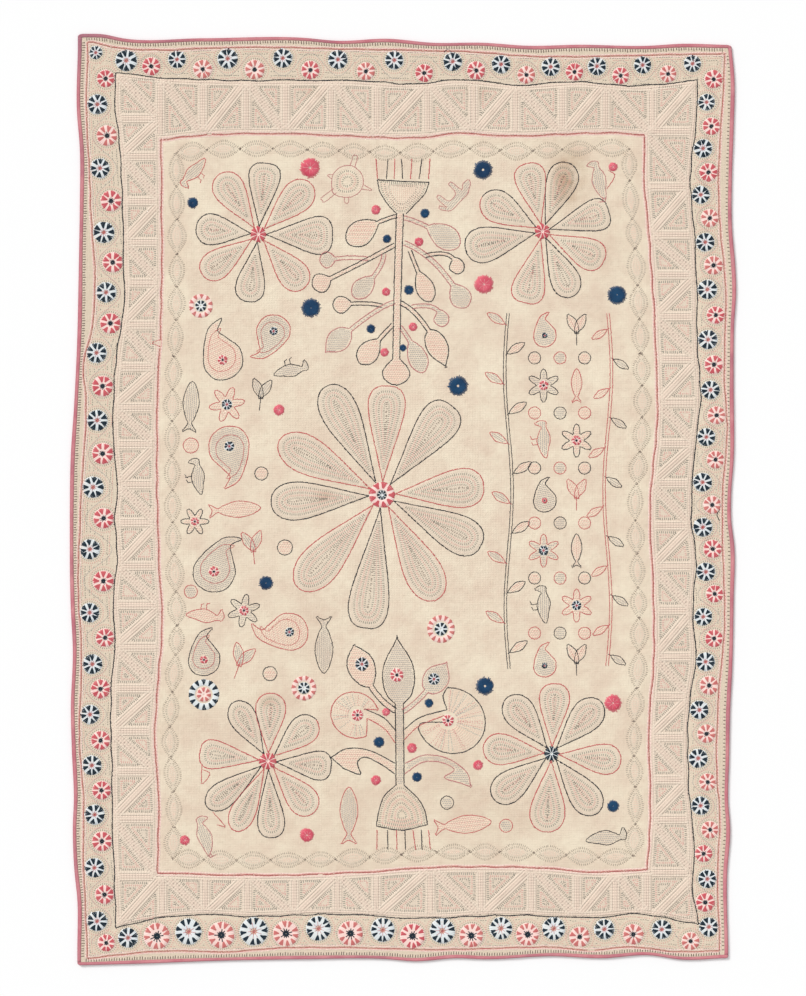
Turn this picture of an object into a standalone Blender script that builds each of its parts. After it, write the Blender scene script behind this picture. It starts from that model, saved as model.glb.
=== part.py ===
"""A kantha quilt laid flat: a layered cotton ground quilted as one sheet, with folded strips over its edges.

The tables and sizes are in millimetres, and MM turns them into metres at the end. x runs across the cloth,
y up it and z up from the floor. The origin is the middle of the underside.
"""

import math

import bmesh
import bpy
import numpy as np
from mathutils import Vector
from mathutils.geometry import delaunay_2d_cdt

MM = 0.001
HALF_WIDTH = 666.0
HALF_LENGTH = 931.0

# The layered ground, which the folded strips lift a little off the floor round its rim
CLOTH = 2.4
RIM_LIFT = 1.1
RIM_FLAT = 20.0
RIM_SLOPE = 45.0
PUFF = 0.25
PUFF_WIDE = 61.0
PUFF_LONG = 71.0
PUFF_BEND = 90.0

# The folded strips: the cotton of one leg, its clearance to the ground, and how far it reaches in on a side
STRIP = 0.8
CLEAR = 0.3
FOLD = 1.6
STRIP_REACH = {"left": 8.0, "top": 7.0, "right": 8.0, "bottom": 7.0}
STRIP_WAVER = 0.6
STRIP_PAST = 2.0
STRIP_WAVE = 47.0
STATION = 55.0
CORNER_STEPS = 4
CORNER_SHARE = 0.9
CORNER_FIRST = 1.0
INNER_CROWD = 1.2
CORNER_RADIUS = {
    ("left", "top"): 14.0,
    ("right", "top"): 16.0,
    ("left", "bottom"): 8.0,
    ("right", "bottom"): 5.0,
}

# Each line of the cloth has a row for every place where it bends: (place along the side, inset)
EDGE = {
    "left": ((-900, 15), (-800, 15), (-740, 9), (-655, 6), (-600, 8), (-500, 4), (-420, 2), (-300, 6),
             (-220, 2), (-33, 0), (90, 2), (180, 8), (300, 14), (470, 18), (590, 20), (700, 20), (780, 14),
             (900, 16)),
    "top": ((-640, 0), (-600, 1), (-560, 9), (-400, 9), (-200, 8), (-130, 14), (-30, 10), (60, 18),
            (160, 18), (250, 24), (350, 22), (490, 24), (560, 20), (640, 22)),
    "right": ((-900, 16), (-750, 18), (-660, 12), (-600, 16), (-520, 14), (-420, 12), (-340, 8),
              (-200, 5), (-90, 4), (-40, 10), (10, 10), (80, 5), (230, 5), (350, 4), (420, 0), (470, 2),
              (540, 8), (660, 8), (740, 5), (850, 4), (900, 9)),
    "bottom": ((-640, 0), (-500, 4), (-400, 8), (-200, 12), (-30, 12), (20, 8), (110, 14), (160, 12),
               (300, 18), (400, 14), (490, 20), (560, 11), (640, 14)),
}
SEAM = {
    "left": ((-900, 36), (-720, 28), (-600, 28), (-480, 20), (-300, 24), (-200, 18), (0, 23), (200, 33),
             (280, 29), (320, 40), (600, 42), (800, 34), (880, 36)),
    "top": ((-620, 18), (-570, 29), (-500, 33), (-340, 28), (-90, 32), (150, 38), (260, 46), (430, 45),
            (600, 41)),
    "right": ((-860, 34), (-780, 38), (-620, 34), (-570, 38), (-370, 34), (-290, 26), (0, 28), (150, 19),
              (240, 24), (430, 22), (550, 33), (630, 36), (790, 28), (870, 24)),
    "bottom": ((-630, 14), (-500, 28), (-340, 28), (-260, 34), (100, 32), (300, 36), (380, 31), (450, 37),
               (550, 28), (610, 29)),
}
OUTER = {
    "left": ((-830, 92), (-680, 86), (-550, 84), (-350, 84), (-270, 91), (-210, 86), (-110, 95), (-30, 90),
             (30, 95), (100, 88), (320, 98), (370, 106), (530, 106), (690, 101), (800, 90), (860, 92)),
    "top": ((-576, 78), (-450, 90), (-330, 93), (-90, 94), (20, 100), (110, 92), (230, 102), (350, 96),
            (470, 104), (590, 92)),
    "right": ((-850, 75), (-770, 87), (-690, 84), (-570, 95), (-400, 92), (-330, 82), (-200, 86), (-120, 80),
              (-40, 89), (100, 82), (190, 72), (330, 78), (480, 80), (640, 91), (790, 78), (840, 78)),
    "bottom": ((-576, 74), (-530, 86), (-410, 101), (-290, 97), (-170, 102), (70, 94), (190, 100), (390, 96),
               (470, 102), (590, 82)),
}
INNER = {
    "left": ((-750, 176), (-560, 176), (-490, 170), (-370, 176), (-290, 183), (-60, 176), (230, 176),
             (350, 182), (530, 184), (720, 182)),
    "top": ((-480, 212), (-390, 202), (-230, 200), (50, 206), (120, 199), (200, 204), (450, 200), (490, 204)),
    "right": ((-735, 178), (-650, 172), (-450, 174), (-300, 164), (-130, 168), (-10, 172), (150, 158),
              (310, 161), (500, 172), (630, 183), (710, 184)),
    "bottom": ((-480, 184), (-320, 180), (-160, 182), (120, 197), (280, 194), (400, 186), (490, 192)),
}

# Quilting relief, over or under the ground's face
GROOVE = -0.6
GROOVE_HALF = 6.0
GROOVE_STEP = 62.0
SEAM_SHARE = 0.6
BAND_PUFF = 0.5
BAND_BACK = 30.0

# The zigzag: where its cross bars stand along each side, and where its first slanting bar begins
ZIGZAG = {
    "left": ((762, 686, 596, 514, 433, 349, 265, 184, 110, 30, -46, -133, -211, -295, -378, -463, -544, -637,
              -753), "inner"),
    "top": ((-485, -400, -313, -235, -143, -52, 49, 141, 225, 319, 405, 498), "outer"),
    "right": ((736, 625, 529, 449, 366, 281, 193, 112, 32, -52, -134, -221, -314, -394, -475, -560, -639,
               -745), "inner"),
    "bottom": ((-481, -395, -311, -217, -131, -53, 55, 156, 257, 348, 424, 487), "inner"),
}
CROSS_BAR = 15.0
SLANT_BAR = 18.0
BAR_MARGIN = 0.16
SLANT_START = 19.0
# How much of a corner square's diagonal its slanting bar takes, and the corner where it takes the other one
CORNER_SPAN = (0.2, 0.82)
CROSSED_CORNER = ("right", "bottom")
BAR_RISE = 1.0
BAR_SHOULDER = 3.5

# The chain of leaves inside the inner line
CHAIN_INSET = 30.0
LEAF = 66.0
LEAF_HALF = 17.0
LEAF_EDGE = -0.4
LEAF_RISE = 0.5
LEAF_SHARES = (0.06, 0.3, 0.5, 0.7, 0.94)
LEAF_CREST_SPAN = (0.32, 0.68)

# Flowers: (centre x, centre y), hub radius, then each petal's (direction in degrees, length, width)
FLOWERS = (
    ((-42, 9), 27, ((5, 204, 78), (52, 226, 78), (87, 218, 70), (117, 244, 70), (152, 232, 74),
                    (184, 222, 74), (228, 250, 78), (263, 268, 76), (298, 236, 74), (333, 222, 74))),
    ((-289, 530), 15, ((44, 146, 62), (84, 143, 62), (123, 143, 62), (174, 125, 62), (216, 138, 58),
                       (261, 136, 58), (311, 141, 60), (359, 148, 74))),
    ((279, 536), 15, ((17, 138, 64), (69, 146, 58), (103, 139, 60), (151, 139, 62), (193, 158, 68),
                      (256, 147, 66), (295, 143, 56), (334, 136, 60))),
    ((-270, -523), 15, ((41, 127, 56), (87, 136, 56), (120, 136, 52), (173, 137, 56), (217, 152, 48),
                        (244, 154, 44), (273, 153, 50), (312, 138, 58), (355, 127, 56))),
    ((297, -508), 15, ((47, 143, 60), (87, 140, 58), (128, 143, 60), (175, 137, 60), (218, 147, 60),
                       (266, 157, 66), (308, 150, 60), (354, 139, 58))),
)
PETAL_FILL = 1.04
PETAL_EDGE = -0.5
PETAL_RISE = 0.6
PETAL_CREST = 0.9
PETAL_SHOULDER = 0.74
PETAL_GAP = 3.0
PETAL_WAIST = 0.34
PETAL_FLARE = 0.86
PETAL_CREST_SPAN = (0.36, 0.7)
DISC = 0.6
DISC_STEPS = 8

FIELD_STEP = 95.0
FIELD_CLEAR = 34.0

SIDES = ("left", "top", "right", "bottom")


def clear_scene():
    for old in list(bpy.data.objects):
        bpy.data.objects.remove(old, do_unlink=True)


def inset(line, side, along):
    """How far in a line lies at a place along a side, as a soft curve through the table's rows."""
    places, values = np.array(line[side], float).T
    slopes = np.gradient(values, places)
    i = int(np.clip(np.searchsorted(places, along) - 1, 0, len(places) - 2))
    span = places[i + 1] - places[i]
    t = float(np.clip((along - places[i]) / span, 0.0, 1.0))
    start = (1 + 2 * t) * (1 - t) ** 2 * values[i] + t * (1 - t) ** 2 * span * slopes[i]
    end = t * t * (3 - 2 * t) * values[i + 1] + t * t * (t - 1) * span * slopes[i + 1]
    return max(0.0, float(start + end))


def place(side, along, depth):
    """The point at a place along a side, a depth in from the rectangle."""
    if side in ("left", "right"):
        x = HALF_WIDTH - depth
        return Vector((-x if side == "left" else x, along))
    y = HALF_LENGTH - depth
    return Vector((along, -y if side == "bottom" else y))


def along_of(side, point):
    return point.y if side in ("left", "right") else point.x


def corner(line, first, second, shift=0.0):
    """Where a line turns from one side to the next."""
    upright, level = (first, second) if first in ("left", "right") else (second, first)
    y = place(level, 0.0, 0.0).y
    for _ in range(8):
        x = place(upright, y, inset(line, upright, y) + shift).x
        y = place(level, x, inset(line, level, x) + shift).y
    return Vector((x, y))


def side_after(side):
    return SIDES[(SIDES.index(side) + 1) % 4]


def side_before(side):
    return SIDES[(SIDES.index(side) - 1) % 4]


def run(line, side, start, end, step, shift=0.0):
    """Points on one side of a line from one place to another, both ends with them."""
    count = max(2, round(abs(end - start) / step)) + 1
    return [place(side, a, inset(line, side, a) + shift) for a in np.linspace(start, end, count)]


def ring(line, step, shift=0.0):
    """A line's four sides as one closed ring, clockwise from the lower left corner."""
    points = []
    for side in SIDES:
        start = along_of(side, corner(line, side_before(side), side, shift))
        end = along_of(side, corner(line, side, side_after(side), shift))
        points += run(line, side, start, end, step, shift)[:-1]
    return points


def reach(side, along):
    """How far a folded strip reaches in over the ground."""
    return STRIP_REACH[side] + STRIP_WAVER * math.sin(along / STRIP_WAVE + 2.0 * SIDES.index(side))


def joint(upright, level):
    """The place up a side where its strip ends and the strip over the top or bottom begins."""
    turn = corner(EDGE, upright, level)
    inside = turn.x + math.copysign(reach(upright, turn.y), -turn.x)
    return place(level, inside, inset(EDGE, level, inside) + reach(level, inside)).y


def rounded_turn(before, turn, after):
    """The edge round a corner, as a soft curve that starts and ends on the two sides."""
    shares = [step / CORNER_STEPS for step in range(1, CORNER_STEPS)]
    return [before.lerp(turn, share).lerp(turn.lerp(after, share), share) for share in shares]


def side_stations(side):
    """Stations of an upright strip, from the bottom joint to the top one: outer point and inner point."""
    low = joint(side, "bottom") + CLEAR / 2
    high = joint(side, "top") - CLEAR / 2
    outer = run(EDGE, side, low, high, STATION)
    return [(p, place(side, p.y, inset(EDGE, side, p.y) + reach(side, p.y))) for p in outer]


def level_stations(level):
    """Stations of the top or bottom strip, which turns both corners and ends against the upright strips."""
    left, start = level_end("left", level)
    right, stop = level_end("right", level)
    path = left + run(EDGE, level, start, stop, STATION) + right[::-1]
    return list(zip(path, inner_points(level, path, len(left), len(right))))


def level_end(upright, level):
    """A level strip's edge from its joint round the corner, and the place where its straight run begins."""
    outward = 1 if level == "top" else -1
    turn = corner(EDGE, upright, level)
    cut = joint(upright, level) + outward * CLEAR / 2
    down = min(CORNER_RADIUS[upright, level], CORNER_SHARE * abs(turn.y - cut))
    low = turn.y - outward * down
    across = turn.x + math.copysign(CORNER_RADIUS[upright, level], -turn.x)
    before = place(upright, low, inset(EDGE, upright, low))
    after = place(level, across, inset(EDGE, level, across))
    joined = place(upright, cut, inset(EDGE, upright, cut))
    return [joined, before, *rounded_turn(before, turn, after)], after.x


def inner_points(level, path, left_count, right_count):
    """The inner edge of a level strip: its first and last stations crowd into the two inside corners."""
    places = [p.x for p in path]
    for upright, count in (("left", left_count), ("right", right_count)):
        turn = corner(EDGE, upright, level)
        inward = math.copysign(reach(upright, turn.y), -turn.x)
        for order in range(count + 1):
            i = order if upright == "left" else -1 - order
            places[i] = turn.x + inward * (CORNER_FIRST + INNER_CROWD * order / count)
    return [place(level, x, inset(EDGE, level, x) + reach(level, x)) for x in places]


def strip_section(depth):
    """A folded strip's outline across its length, as (distance in from the edge, height)."""
    face = RIM_LIFT + CLOTH + CLEAR
    top = face + STRIP
    shoulder = 0.3 * FOLD
    return (
        (depth, 0.0), (FOLD, 0.0), (shoulder, shoulder), (0.0, FOLD), (0.0, top - FOLD),
        (shoulder, top - shoulder), (FOLD, top), (depth - FOLD / 2, top), (depth, top - STRIP / 2),
        (depth, face), (STRIP, face), (STRIP, STRIP), (depth, STRIP),
    )


def strip_mesh(name, stations):
    """A strip swept through its stations, with both ends closed."""
    built = bmesh.new()
    loops = []
    for outer, inner in stations:
        inward = (inner - outer).normalized()
        loop = []
        for distance, height in strip_section((inner - outer).length):
            spot = outer + inward * distance
            loop.append(built.verts.new((spot.x * MM, spot.y * MM, height * MM)))
        loops.append(loop)
    for one, two in zip(loops, loops[1:]):
        for k in range(len(one)):
            after = (k + 1) % len(one)
            built.faces.new((one[k], one[after], two[after], two[k]))
    built.faces.new(loops[0][::-1])
    built.faces.new(loops[-1])
    return finished(name, built)


def finished(name, built):
    bmesh.ops.recalc_face_normals(built, faces=built.faces)
    bmesh.ops.triangulate(built, faces=built.faces)
    mesh = bpy.data.meshes.new(name)
    built.to_mesh(mesh)
    built.free()
    return mesh


def depth_from_edge(x, y):
    """How far inside the cloth's edge a point lies."""
    return min(
        x + HALF_WIDTH - inset(EDGE, "left", y),
        HALF_WIDTH - inset(EDGE, "right", y) - x,
        HALF_LENGTH - inset(EDGE, "top", x) - y,
        y + HALF_LENGTH - inset(EDGE, "bottom", x),
    )


def lift_off_floor(x, y):
    """The underside's height: flat on the floor but for the rim, which stands on the strips' lower legs."""
    share = (depth_from_edge(x, y) - RIM_FLAT) / RIM_SLOPE
    share = min(1.0, max(0.0, share))
    return RIM_LIFT * (1.0 - share * share * (3.0 - 2.0 * share))


def face_height(x, y, rise):
    """The upper face's height, with the ground's soft unevenness away from the rim."""
    lift = lift_off_floor(x, y)
    inside = 1.0 - lift / RIM_LIFT
    across = math.sin(x / PUFF_WIDE + 0.6 * math.sin(y / PUFF_BEND))
    along = math.sin(y / PUFF_LONG + 0.9 * math.sin(x / PUFF_BEND))
    return lift + CLOTH + PUFF * inside * across * along + rise


def add_path(relief, points, rise, closed=True):
    """Adds a path to the relief, its points joined by edges that the net keeps."""
    first = len(relief["spots"])
    relief["spots"] += [(p[0], p[1], rise) for p in points]
    count = len(points)
    for k in range(count if closed else count - 1):
        relief["edges"].append((first + k, first + (k + 1) % count))


def net(relief, height):
    """Triangles through the relief's points and edges: points in space, faces, and where each input went."""
    flat = [Vector(spot[:2]) for spot in relief["spots"]]
    points, _, faces, origins, _, _ = delaunay_2d_cdt(flat, relief["edges"], [], 1, 1e-4)
    raised, index = [], {}
    for i, (point, origin) in enumerate(zip(points, origins)):
        rise = relief["spots"][origin[0]][2] if origin else 0.0
        raised.append((point.x, point.y, height(point.x, point.y, rise)))
        for number in origin:
            index[number] = i
    return raised, faces, index


def grooves(relief):
    """The sewn lines sink into the ground, which swells between them."""
    for line in (OUTER, INNER):
        add_path(relief, ring(line, GROOVE_STEP, -GROOVE_HALF), 0.0)
        add_path(relief, ring(line, GROOVE_STEP), GROOVE)
        add_path(relief, ring(line, GROOVE_STEP, GROOVE_HALF), 0.0)
    add_path(relief, ring(SEAM, GROOVE_STEP), GROOVE * SEAM_SHARE)
    add_path(relief, ring(SEAM, GROOVE_STEP, GROOVE_HALF), 0.0)
    add_path(relief, ring(OUTER, GROOVE_STEP, -BAND_BACK), BAND_PUFF)


def in_band(side, along, share):
    """A point of the zigzag band, from 0 on its outer line to 1 on its inner one."""
    outer = inset(OUTER, side, along)
    return place(side, along, outer + (inset(INNER, side, along) - outer) * share)


def bar(relief, start, end, width):
    """One raised bar with a flat crown."""
    run_way = (end - start).normalized()
    across = Vector((-run_way.y, run_way.x))
    half = width / 2
    crown = half - BAR_SHOULDER
    foot = [start - across * half, end - across * half, end + across * half, start + across * half]
    start = start + run_way * BAR_SHOULDER
    end = end - run_way * BAR_SHOULDER
    top = [start - across * crown, end - across * crown, end + across * crown, start + across * crown]
    add_path(relief, foot, 0.0)
    add_path(relief, top, BAR_RISE)


def zigzag(relief):
    """Cross bars, and a slanting bar in each cell that swings from one line of the band to the other."""
    shares = {"outer": BAR_MARGIN, "inner": 1.0 - BAR_MARGIN}
    for side, (places, point) in ZIGZAG.items():
        for at in places:
            bar(relief, in_band(side, at, BAR_MARGIN), in_band(side, at, 1.0 - BAR_MARGIN), CROSS_BAR)
        for at, after in zip(places, places[1:]):
            step = math.copysign(SLANT_START, after - at)
            other = "inner" if point == "outer" else "outer"
            start = in_band(side, at + step, shares[point])
            end = in_band(side, after - step, shares[other])
            bar(relief, start, end, SLANT_BAR)
            point = other


def corner_bars(relief):
    """A slanting bar in each corner's square, between the outer line's corner and the last cross bars."""
    for upright, end in (("left", 0), ("right", -1)):
        for level, stop in (("top", 0), ("bottom", -1)):
            far = corner(OUTER, upright, level)
            near = Vector((ZIGZAG[level][0][end], ZIGZAG[upright][0][stop]))
            if (upright, level) == CROSSED_CORNER:
                far, near = Vector((near.x, far.y)), Vector((far.x, near.y))
            bar(relief, far.lerp(near, CORNER_SPAN[0]), far.lerp(near, CORNER_SPAN[1]), SLANT_BAR)


def leaf_chain(relief):
    """Leaves end to end along each side, a little inside the inner line."""
    for side in SIDES:
        start = corner(INNER, side_before(side), side, CHAIN_INSET)
        end = corner(INNER, side, side_after(side), CHAIN_INSET)
        begin, finish = along_of(side, start), along_of(side, end)
        count = round(abs(finish - begin) / LEAF)
        places = np.linspace(begin, finish, count + 1)
        for low, high in zip(places, places[1:]):
            leaf(relief, side, low, high)


def leaf(relief, side, low, high):
    """One leaf of the chain: its sunken outline and the raised line down its middle."""
    def at(share, off):
        along = low + (high - low) * share
        return place(side, along, inset(INNER, side, along) + CHAIN_INSET + off)

    upper = [at(share, LEAF_HALF * math.sin(math.pi * share)) for share in LEAF_SHARES]
    lower = [at(share, -LEAF_HALF * math.sin(math.pi * share)) for share in LEAF_SHARES[-2:0:-1]]
    add_path(relief, upper + lower, LEAF_EDGE)
    add_path(relief, [at(share, 0.0) for share in LEAF_CREST_SPAN], LEAF_RISE, closed=False)


def petal_outline(length, width, hub, scale, steps):
    """A petal along +x from the hub: narrow at the hub, widest past its middle and round at its tip."""
    points = []
    for k in range(steps):
        turn = 2 * math.pi * k / steps
        share = 0.5 - 0.5 * math.cos(turn) * scale
        half = width / 2 * scale * math.sin(turn) * (PETAL_WAIST + PETAL_FLARE * share)
        points.append((hub + (length - hub) * share, half))
    return points


def petal(relief, centre, direction, length, width, hub):
    cosine, sine = math.cos(math.radians(direction)), math.sin(math.radians(direction))

    def turned(points):
        return [(centre[0] + x * cosine - y * sine, centre[1] + x * sine + y * cosine) for x, y in points]

    foot = hub + PETAL_GAP
    add_path(relief, turned(petal_outline(length, width, foot, 1.0, 12)), PETAL_EDGE)
    add_path(relief, turned(petal_outline(length, width, foot, PETAL_SHOULDER, 10)), PETAL_RISE)
    crest = [(hub + (length - hub) * share, 0.0) for share in PETAL_CREST_SPAN]
    add_path(relief, turned(crest), PETAL_CREST, closed=False)


def flowers(relief):
    for centre, hub, petals in FLOWERS:
        for direction, length, width in petals:
            petal(relief, centre, direction, length, width * PETAL_FILL, hub)
        turns = [2 * math.pi * k / DISC_STEPS for k in range(DISC_STEPS)]
        disc = [(centre[0] + hub * DISC * math.cos(a), centre[1] + hub * DISC * math.sin(a)) for a in turns]
        add_path(relief, disc, PETAL_RISE)


def open_field(relief):
    """Loose points where the ground is plain, so that its unevenness shows there too."""
    taken = np.array([spot[:2] for spot in relief["spots"]])
    for x in np.arange(-HALF_WIDTH, HALF_WIDTH, FIELD_STEP):
        for y in np.arange(-HALF_LENGTH, HALF_LENGTH, FIELD_STEP):
            inside = depth_from_edge(x, y) > RIM_FLAT + RIM_SLOPE
            if inside and np.hypot(*(taken - (x, y)).T).min() > FIELD_CLEAR:
                relief["spots"].append((float(x), float(y), PUFF))


def cloth_rim(strips):
    """The ground's own edge, just inside the fold of the strips, clockwise from the lower left joint."""
    rim = []
    order = ("binding_left", "binding_top", "binding_right", "binding_bottom")
    for name in order:
        stations = strips[name]
        if name in ("binding_right", "binding_bottom"):
            stations = stations[::-1]
        points = [outer + (inner - outer).normalized() * (STRIP + CLEAR) for outer, inner in stations]
        if rim:
            points[0] = (rim.pop() + points[0]) / 2
        rim += points
    rim[0] = (rim.pop() + rim[0]) / 2
    return rim


def under_strips():
    """A ring just inside the strips, so that the ground stays level and clear under them."""
    line = {}
    for side in SIDES:
        line[side] = tuple((along, depth + STRIP_REACH[side] + STRIP_PAST) for along, depth in EDGE[side])
    return ring(line, STATION)


def cloth_mesh(rim):
    """The ground: a worked upper face, a plain underside and a wall between them."""
    upper = {"spots": [], "edges": []}
    add_path(upper, rim, 0.0)
    add_path(upper, under_strips(), 0.0)
    for worked in (grooves, zigzag, corner_bars, leaf_chain, flowers, open_field):
        worked(upper)
    lower = {"spots": [], "edges": []}
    add_path(lower, rim, 0.0)
    for shift in (RIM_FLAT, RIM_FLAT + RIM_SLOPE / 2, RIM_FLAT + RIM_SLOPE):
        add_path(lower, ring(EDGE, 2 * STATION, shift + 1.0), 0.0)

    top_points, top_faces, top_index = net(upper, face_height)
    low_points, low_faces, low_index = net(lower, lambda x, y, rise: lift_off_floor(x, y))
    built = bmesh.new()
    top = [built.verts.new((x * MM, y * MM, z * MM)) for x, y, z in top_points]
    low = [built.verts.new((x * MM, y * MM, z * MM)) for x, y, z in low_points]
    for face in top_faces:
        built.faces.new([top[i] for i in face])
    for face in low_faces:
        built.faces.new([low[i] for i in face][::-1])
    for k in range(len(rim)):
        after = (k + 1) % len(rim)
        wall = (top[top_index[k]], top[top_index[after]], low[low_index[after]], low[low_index[k]])
        built.faces.new(wall)
    return finished("quilt", built)


def cotton(name, colour, roughness):
    material = bpy.data.materials.new(name)
    material.use_nodes = True
    shader = material.node_tree.nodes["Principled BSDF"]
    shader.inputs["Base Color"].default_value = (*colour, 1.0)
    shader.inputs["Roughness"].default_value = roughness
    shader.inputs["Metallic"].default_value = 0.0
    return material


def piece(mesh, name, material):
    mesh.materials.append(material)
    made = bpy.data.objects.new(name, mesh)
    bpy.context.scene.collection.objects.link(made)
    return made


def main():
    clear_scene()
    ground = cotton("quilted_cotton", (0.78, 0.66, 0.50), 0.9)
    rose = cotton("rose_cotton", (0.58, 0.20, 0.22), 0.85)
    strips = {
        "binding_left": side_stations("left"),
        "binding_right": side_stations("right"),
        "binding_top": level_stations("top"),
        "binding_bottom": level_stations("bottom"),
    }
    piece(cloth_mesh(cloth_rim(strips)), "quilt", ground)
    for name, stations in strips.items():
        piece(strip_mesh(name, stations), name, rose)


main()
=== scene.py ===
"""The dressed kantha quilt: worn cream cotton, embroidered borders and flowers, and a folded rose binding.

Sizes and places are in millimetres, as in the part, and MM turns them into metres where a mesh is made.
x runs across the quilt, y up it and z up from the floor. Threads of one colour and one job are one piece.
"""

import math

import bpy
import numpy as np
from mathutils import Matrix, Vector


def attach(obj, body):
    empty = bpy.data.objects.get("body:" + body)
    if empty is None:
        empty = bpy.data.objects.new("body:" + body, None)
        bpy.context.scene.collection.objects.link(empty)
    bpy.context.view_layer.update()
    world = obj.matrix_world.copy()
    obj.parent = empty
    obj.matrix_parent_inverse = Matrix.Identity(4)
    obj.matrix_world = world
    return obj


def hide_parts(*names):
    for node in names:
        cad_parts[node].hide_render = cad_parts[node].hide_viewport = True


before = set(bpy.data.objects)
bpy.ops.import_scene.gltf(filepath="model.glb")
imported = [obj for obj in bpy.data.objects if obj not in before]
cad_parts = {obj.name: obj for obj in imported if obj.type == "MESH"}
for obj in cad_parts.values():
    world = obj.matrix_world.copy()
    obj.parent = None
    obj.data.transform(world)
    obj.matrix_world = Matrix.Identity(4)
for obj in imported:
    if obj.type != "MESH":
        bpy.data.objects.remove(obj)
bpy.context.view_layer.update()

MM = 0.001
HALF_WIDTH = 666.0
HALF_LENGTH = 931.0
SIDES = ("left", "top", "right", "bottom")
rng = np.random.default_rng(11)

# The ground and the folded strips over its edge, as in the part
CLOTH = 2.4
RIM_LIFT = 1.1
RIM_FLAT = 20.0
RIM_SLOPE = 45.0
STRIP = 0.8
CLEAR = 0.3
FOLD = 1.6
STRIP_REACH = {"left": 8.0, "top": 7.0, "right": 8.0, "bottom": 7.0}
STRIP_WAVER = 0.6
STRIP_WAVE = 47.0
CORNER_RADIUS = {
    ("left", "top"): 14.0,
    ("right", "top"): 16.0,
    ("left", "bottom"): 8.0,
    ("right", "bottom"): 5.0,
}

# Relief of the worked face. The ground's swells: rise, then wave length, sway and the sway's wave length
# along x and along y. The troughs of seam, outer and inner line and the bars' ridges: height and half width
SWELLS = (
    (0.30, (61, 0.6, 90), (71, 0.9, 90)),
    (0.16, (19, 1.3, 37), (23, 1.1, 31)),
)
TROUGHS = ((0.35, 5.0), (0.6, 6.5), (0.55, 6.5))
BAND_SWELL = 0.55
CROSS_RIDGE = (0.8, 8.5)
SLANT_RIDGE = (0.95, 10.0)
LEAF_RISE = 0.5
LEAF_TROUGH = (0.35, 3.0)
PETAL_RISE = 0.9
PETAL_TROUGH = (0.4, 4.0)

# Each line of the cloth has a row for every place where it bends: (place along the side, inset)
EDGE = {
    "left": (
        (-900, 15), (-800, 15), (-740, 9), (-655, 6), (-600, 8), (-500, 4), (-420, 2), (-300, 6),
        (-220, 2), (-33, 0), (90, 2), (180, 8), (300, 14), (470, 18), (590, 20), (700, 20), (780, 14),
        (900, 16),
    ),
    "top": (
        (-640, 0), (-600, 1), (-560, 9), (-400, 9), (-200, 8), (-130, 14), (-30, 10), (60, 18), (160, 18),
        (250, 24), (350, 22), (490, 24), (560, 20), (640, 22),
    ),
    "right": (
        (-900, 16), (-750, 18), (-660, 12), (-600, 16), (-520, 14), (-420, 12), (-340, 8), (-200, 5),
        (-90, 4), (-40, 10), (10, 10), (80, 5), (230, 5), (350, 4), (420, 0), (470, 2), (540, 8),
        (660, 8), (740, 5), (850, 4), (900, 9),
    ),
    "bottom": (
        (-640, 0), (-500, 4), (-400, 8), (-200, 12), (-30, 12), (20, 8), (110, 14), (160, 12), (300, 18),
        (400, 14), (490, 20), (560, 11), (640, 14),
    ),
}
SEAM = {
    "left": (
        (-900, 36), (-720, 28), (-600, 28), (-480, 20), (-300, 24), (-200, 18), (0, 23), (200, 33),
        (280, 29), (320, 40), (600, 42), (800, 34), (880, 36),
    ),
    "top": (
        (-620, 18), (-570, 29), (-500, 33), (-340, 28), (-90, 32), (150, 38), (260, 46), (430, 45),
        (600, 41),
    ),
    "right": (
        (-860, 34), (-780, 38), (-620, 34), (-570, 38), (-370, 34), (-290, 26), (0, 28), (150, 19),
        (240, 24), (430, 22), (550, 33), (630, 36), (790, 28), (870, 24),
    ),
    "bottom": (
        (-630, 14), (-500, 28), (-340, 28), (-260, 34), (100, 32), (300, 36), (380, 31), (450, 37),
        (550, 28), (610, 29),
    ),
}
OUTER = {
    "left": (
        (-830, 92), (-680, 86), (-550, 84), (-350, 84), (-270, 91), (-210, 86), (-110, 95), (-30, 90),
        (30, 95), (100, 88), (320, 98), (370, 106), (530, 106), (690, 101), (800, 90), (860, 92),
    ),
    "top": (
        (-576, 78), (-450, 90), (-330, 93), (-90, 94), (20, 100), (110, 92), (230, 102), (350, 96),
        (470, 104), (590, 92),
    ),
    "right": (
        (-850, 75), (-770, 87), (-690, 84), (-570, 95), (-400, 92), (-330, 82), (-200, 86), (-120, 80),
        (-40, 89), (100, 82), (190, 72), (330, 78), (480, 80), (640, 91), (790, 78), (840, 78),
    ),
    "bottom": (
        (-576, 74), (-530, 86), (-410, 101), (-290, 97), (-170, 102), (70, 94), (190, 100), (390, 96),
        (470, 102), (590, 82),
    ),
}
INNER = {
    "left": (
        (-750, 176), (-560, 176), (-490, 170), (-370, 176), (-290, 183), (-60, 176), (230, 176),
        (350, 182), (530, 184), (720, 182),
    ),
    "top": (
        (-480, 212), (-390, 202), (-230, 200), (50, 206), (120, 199), (200, 204), (450, 200), (490, 204),
    ),
    "right": (
        (-735, 178), (-650, 172), (-450, 174), (-300, 164), (-130, 168), (-10, 172), (150, 158),
        (310, 161), (500, 172), (630, 183), (710, 184),
    ),
    "bottom": ((-480, 184), (-320, 180), (-160, 182), (120, 197), (280, 194), (400, 186), (490, 192)),
}

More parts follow.
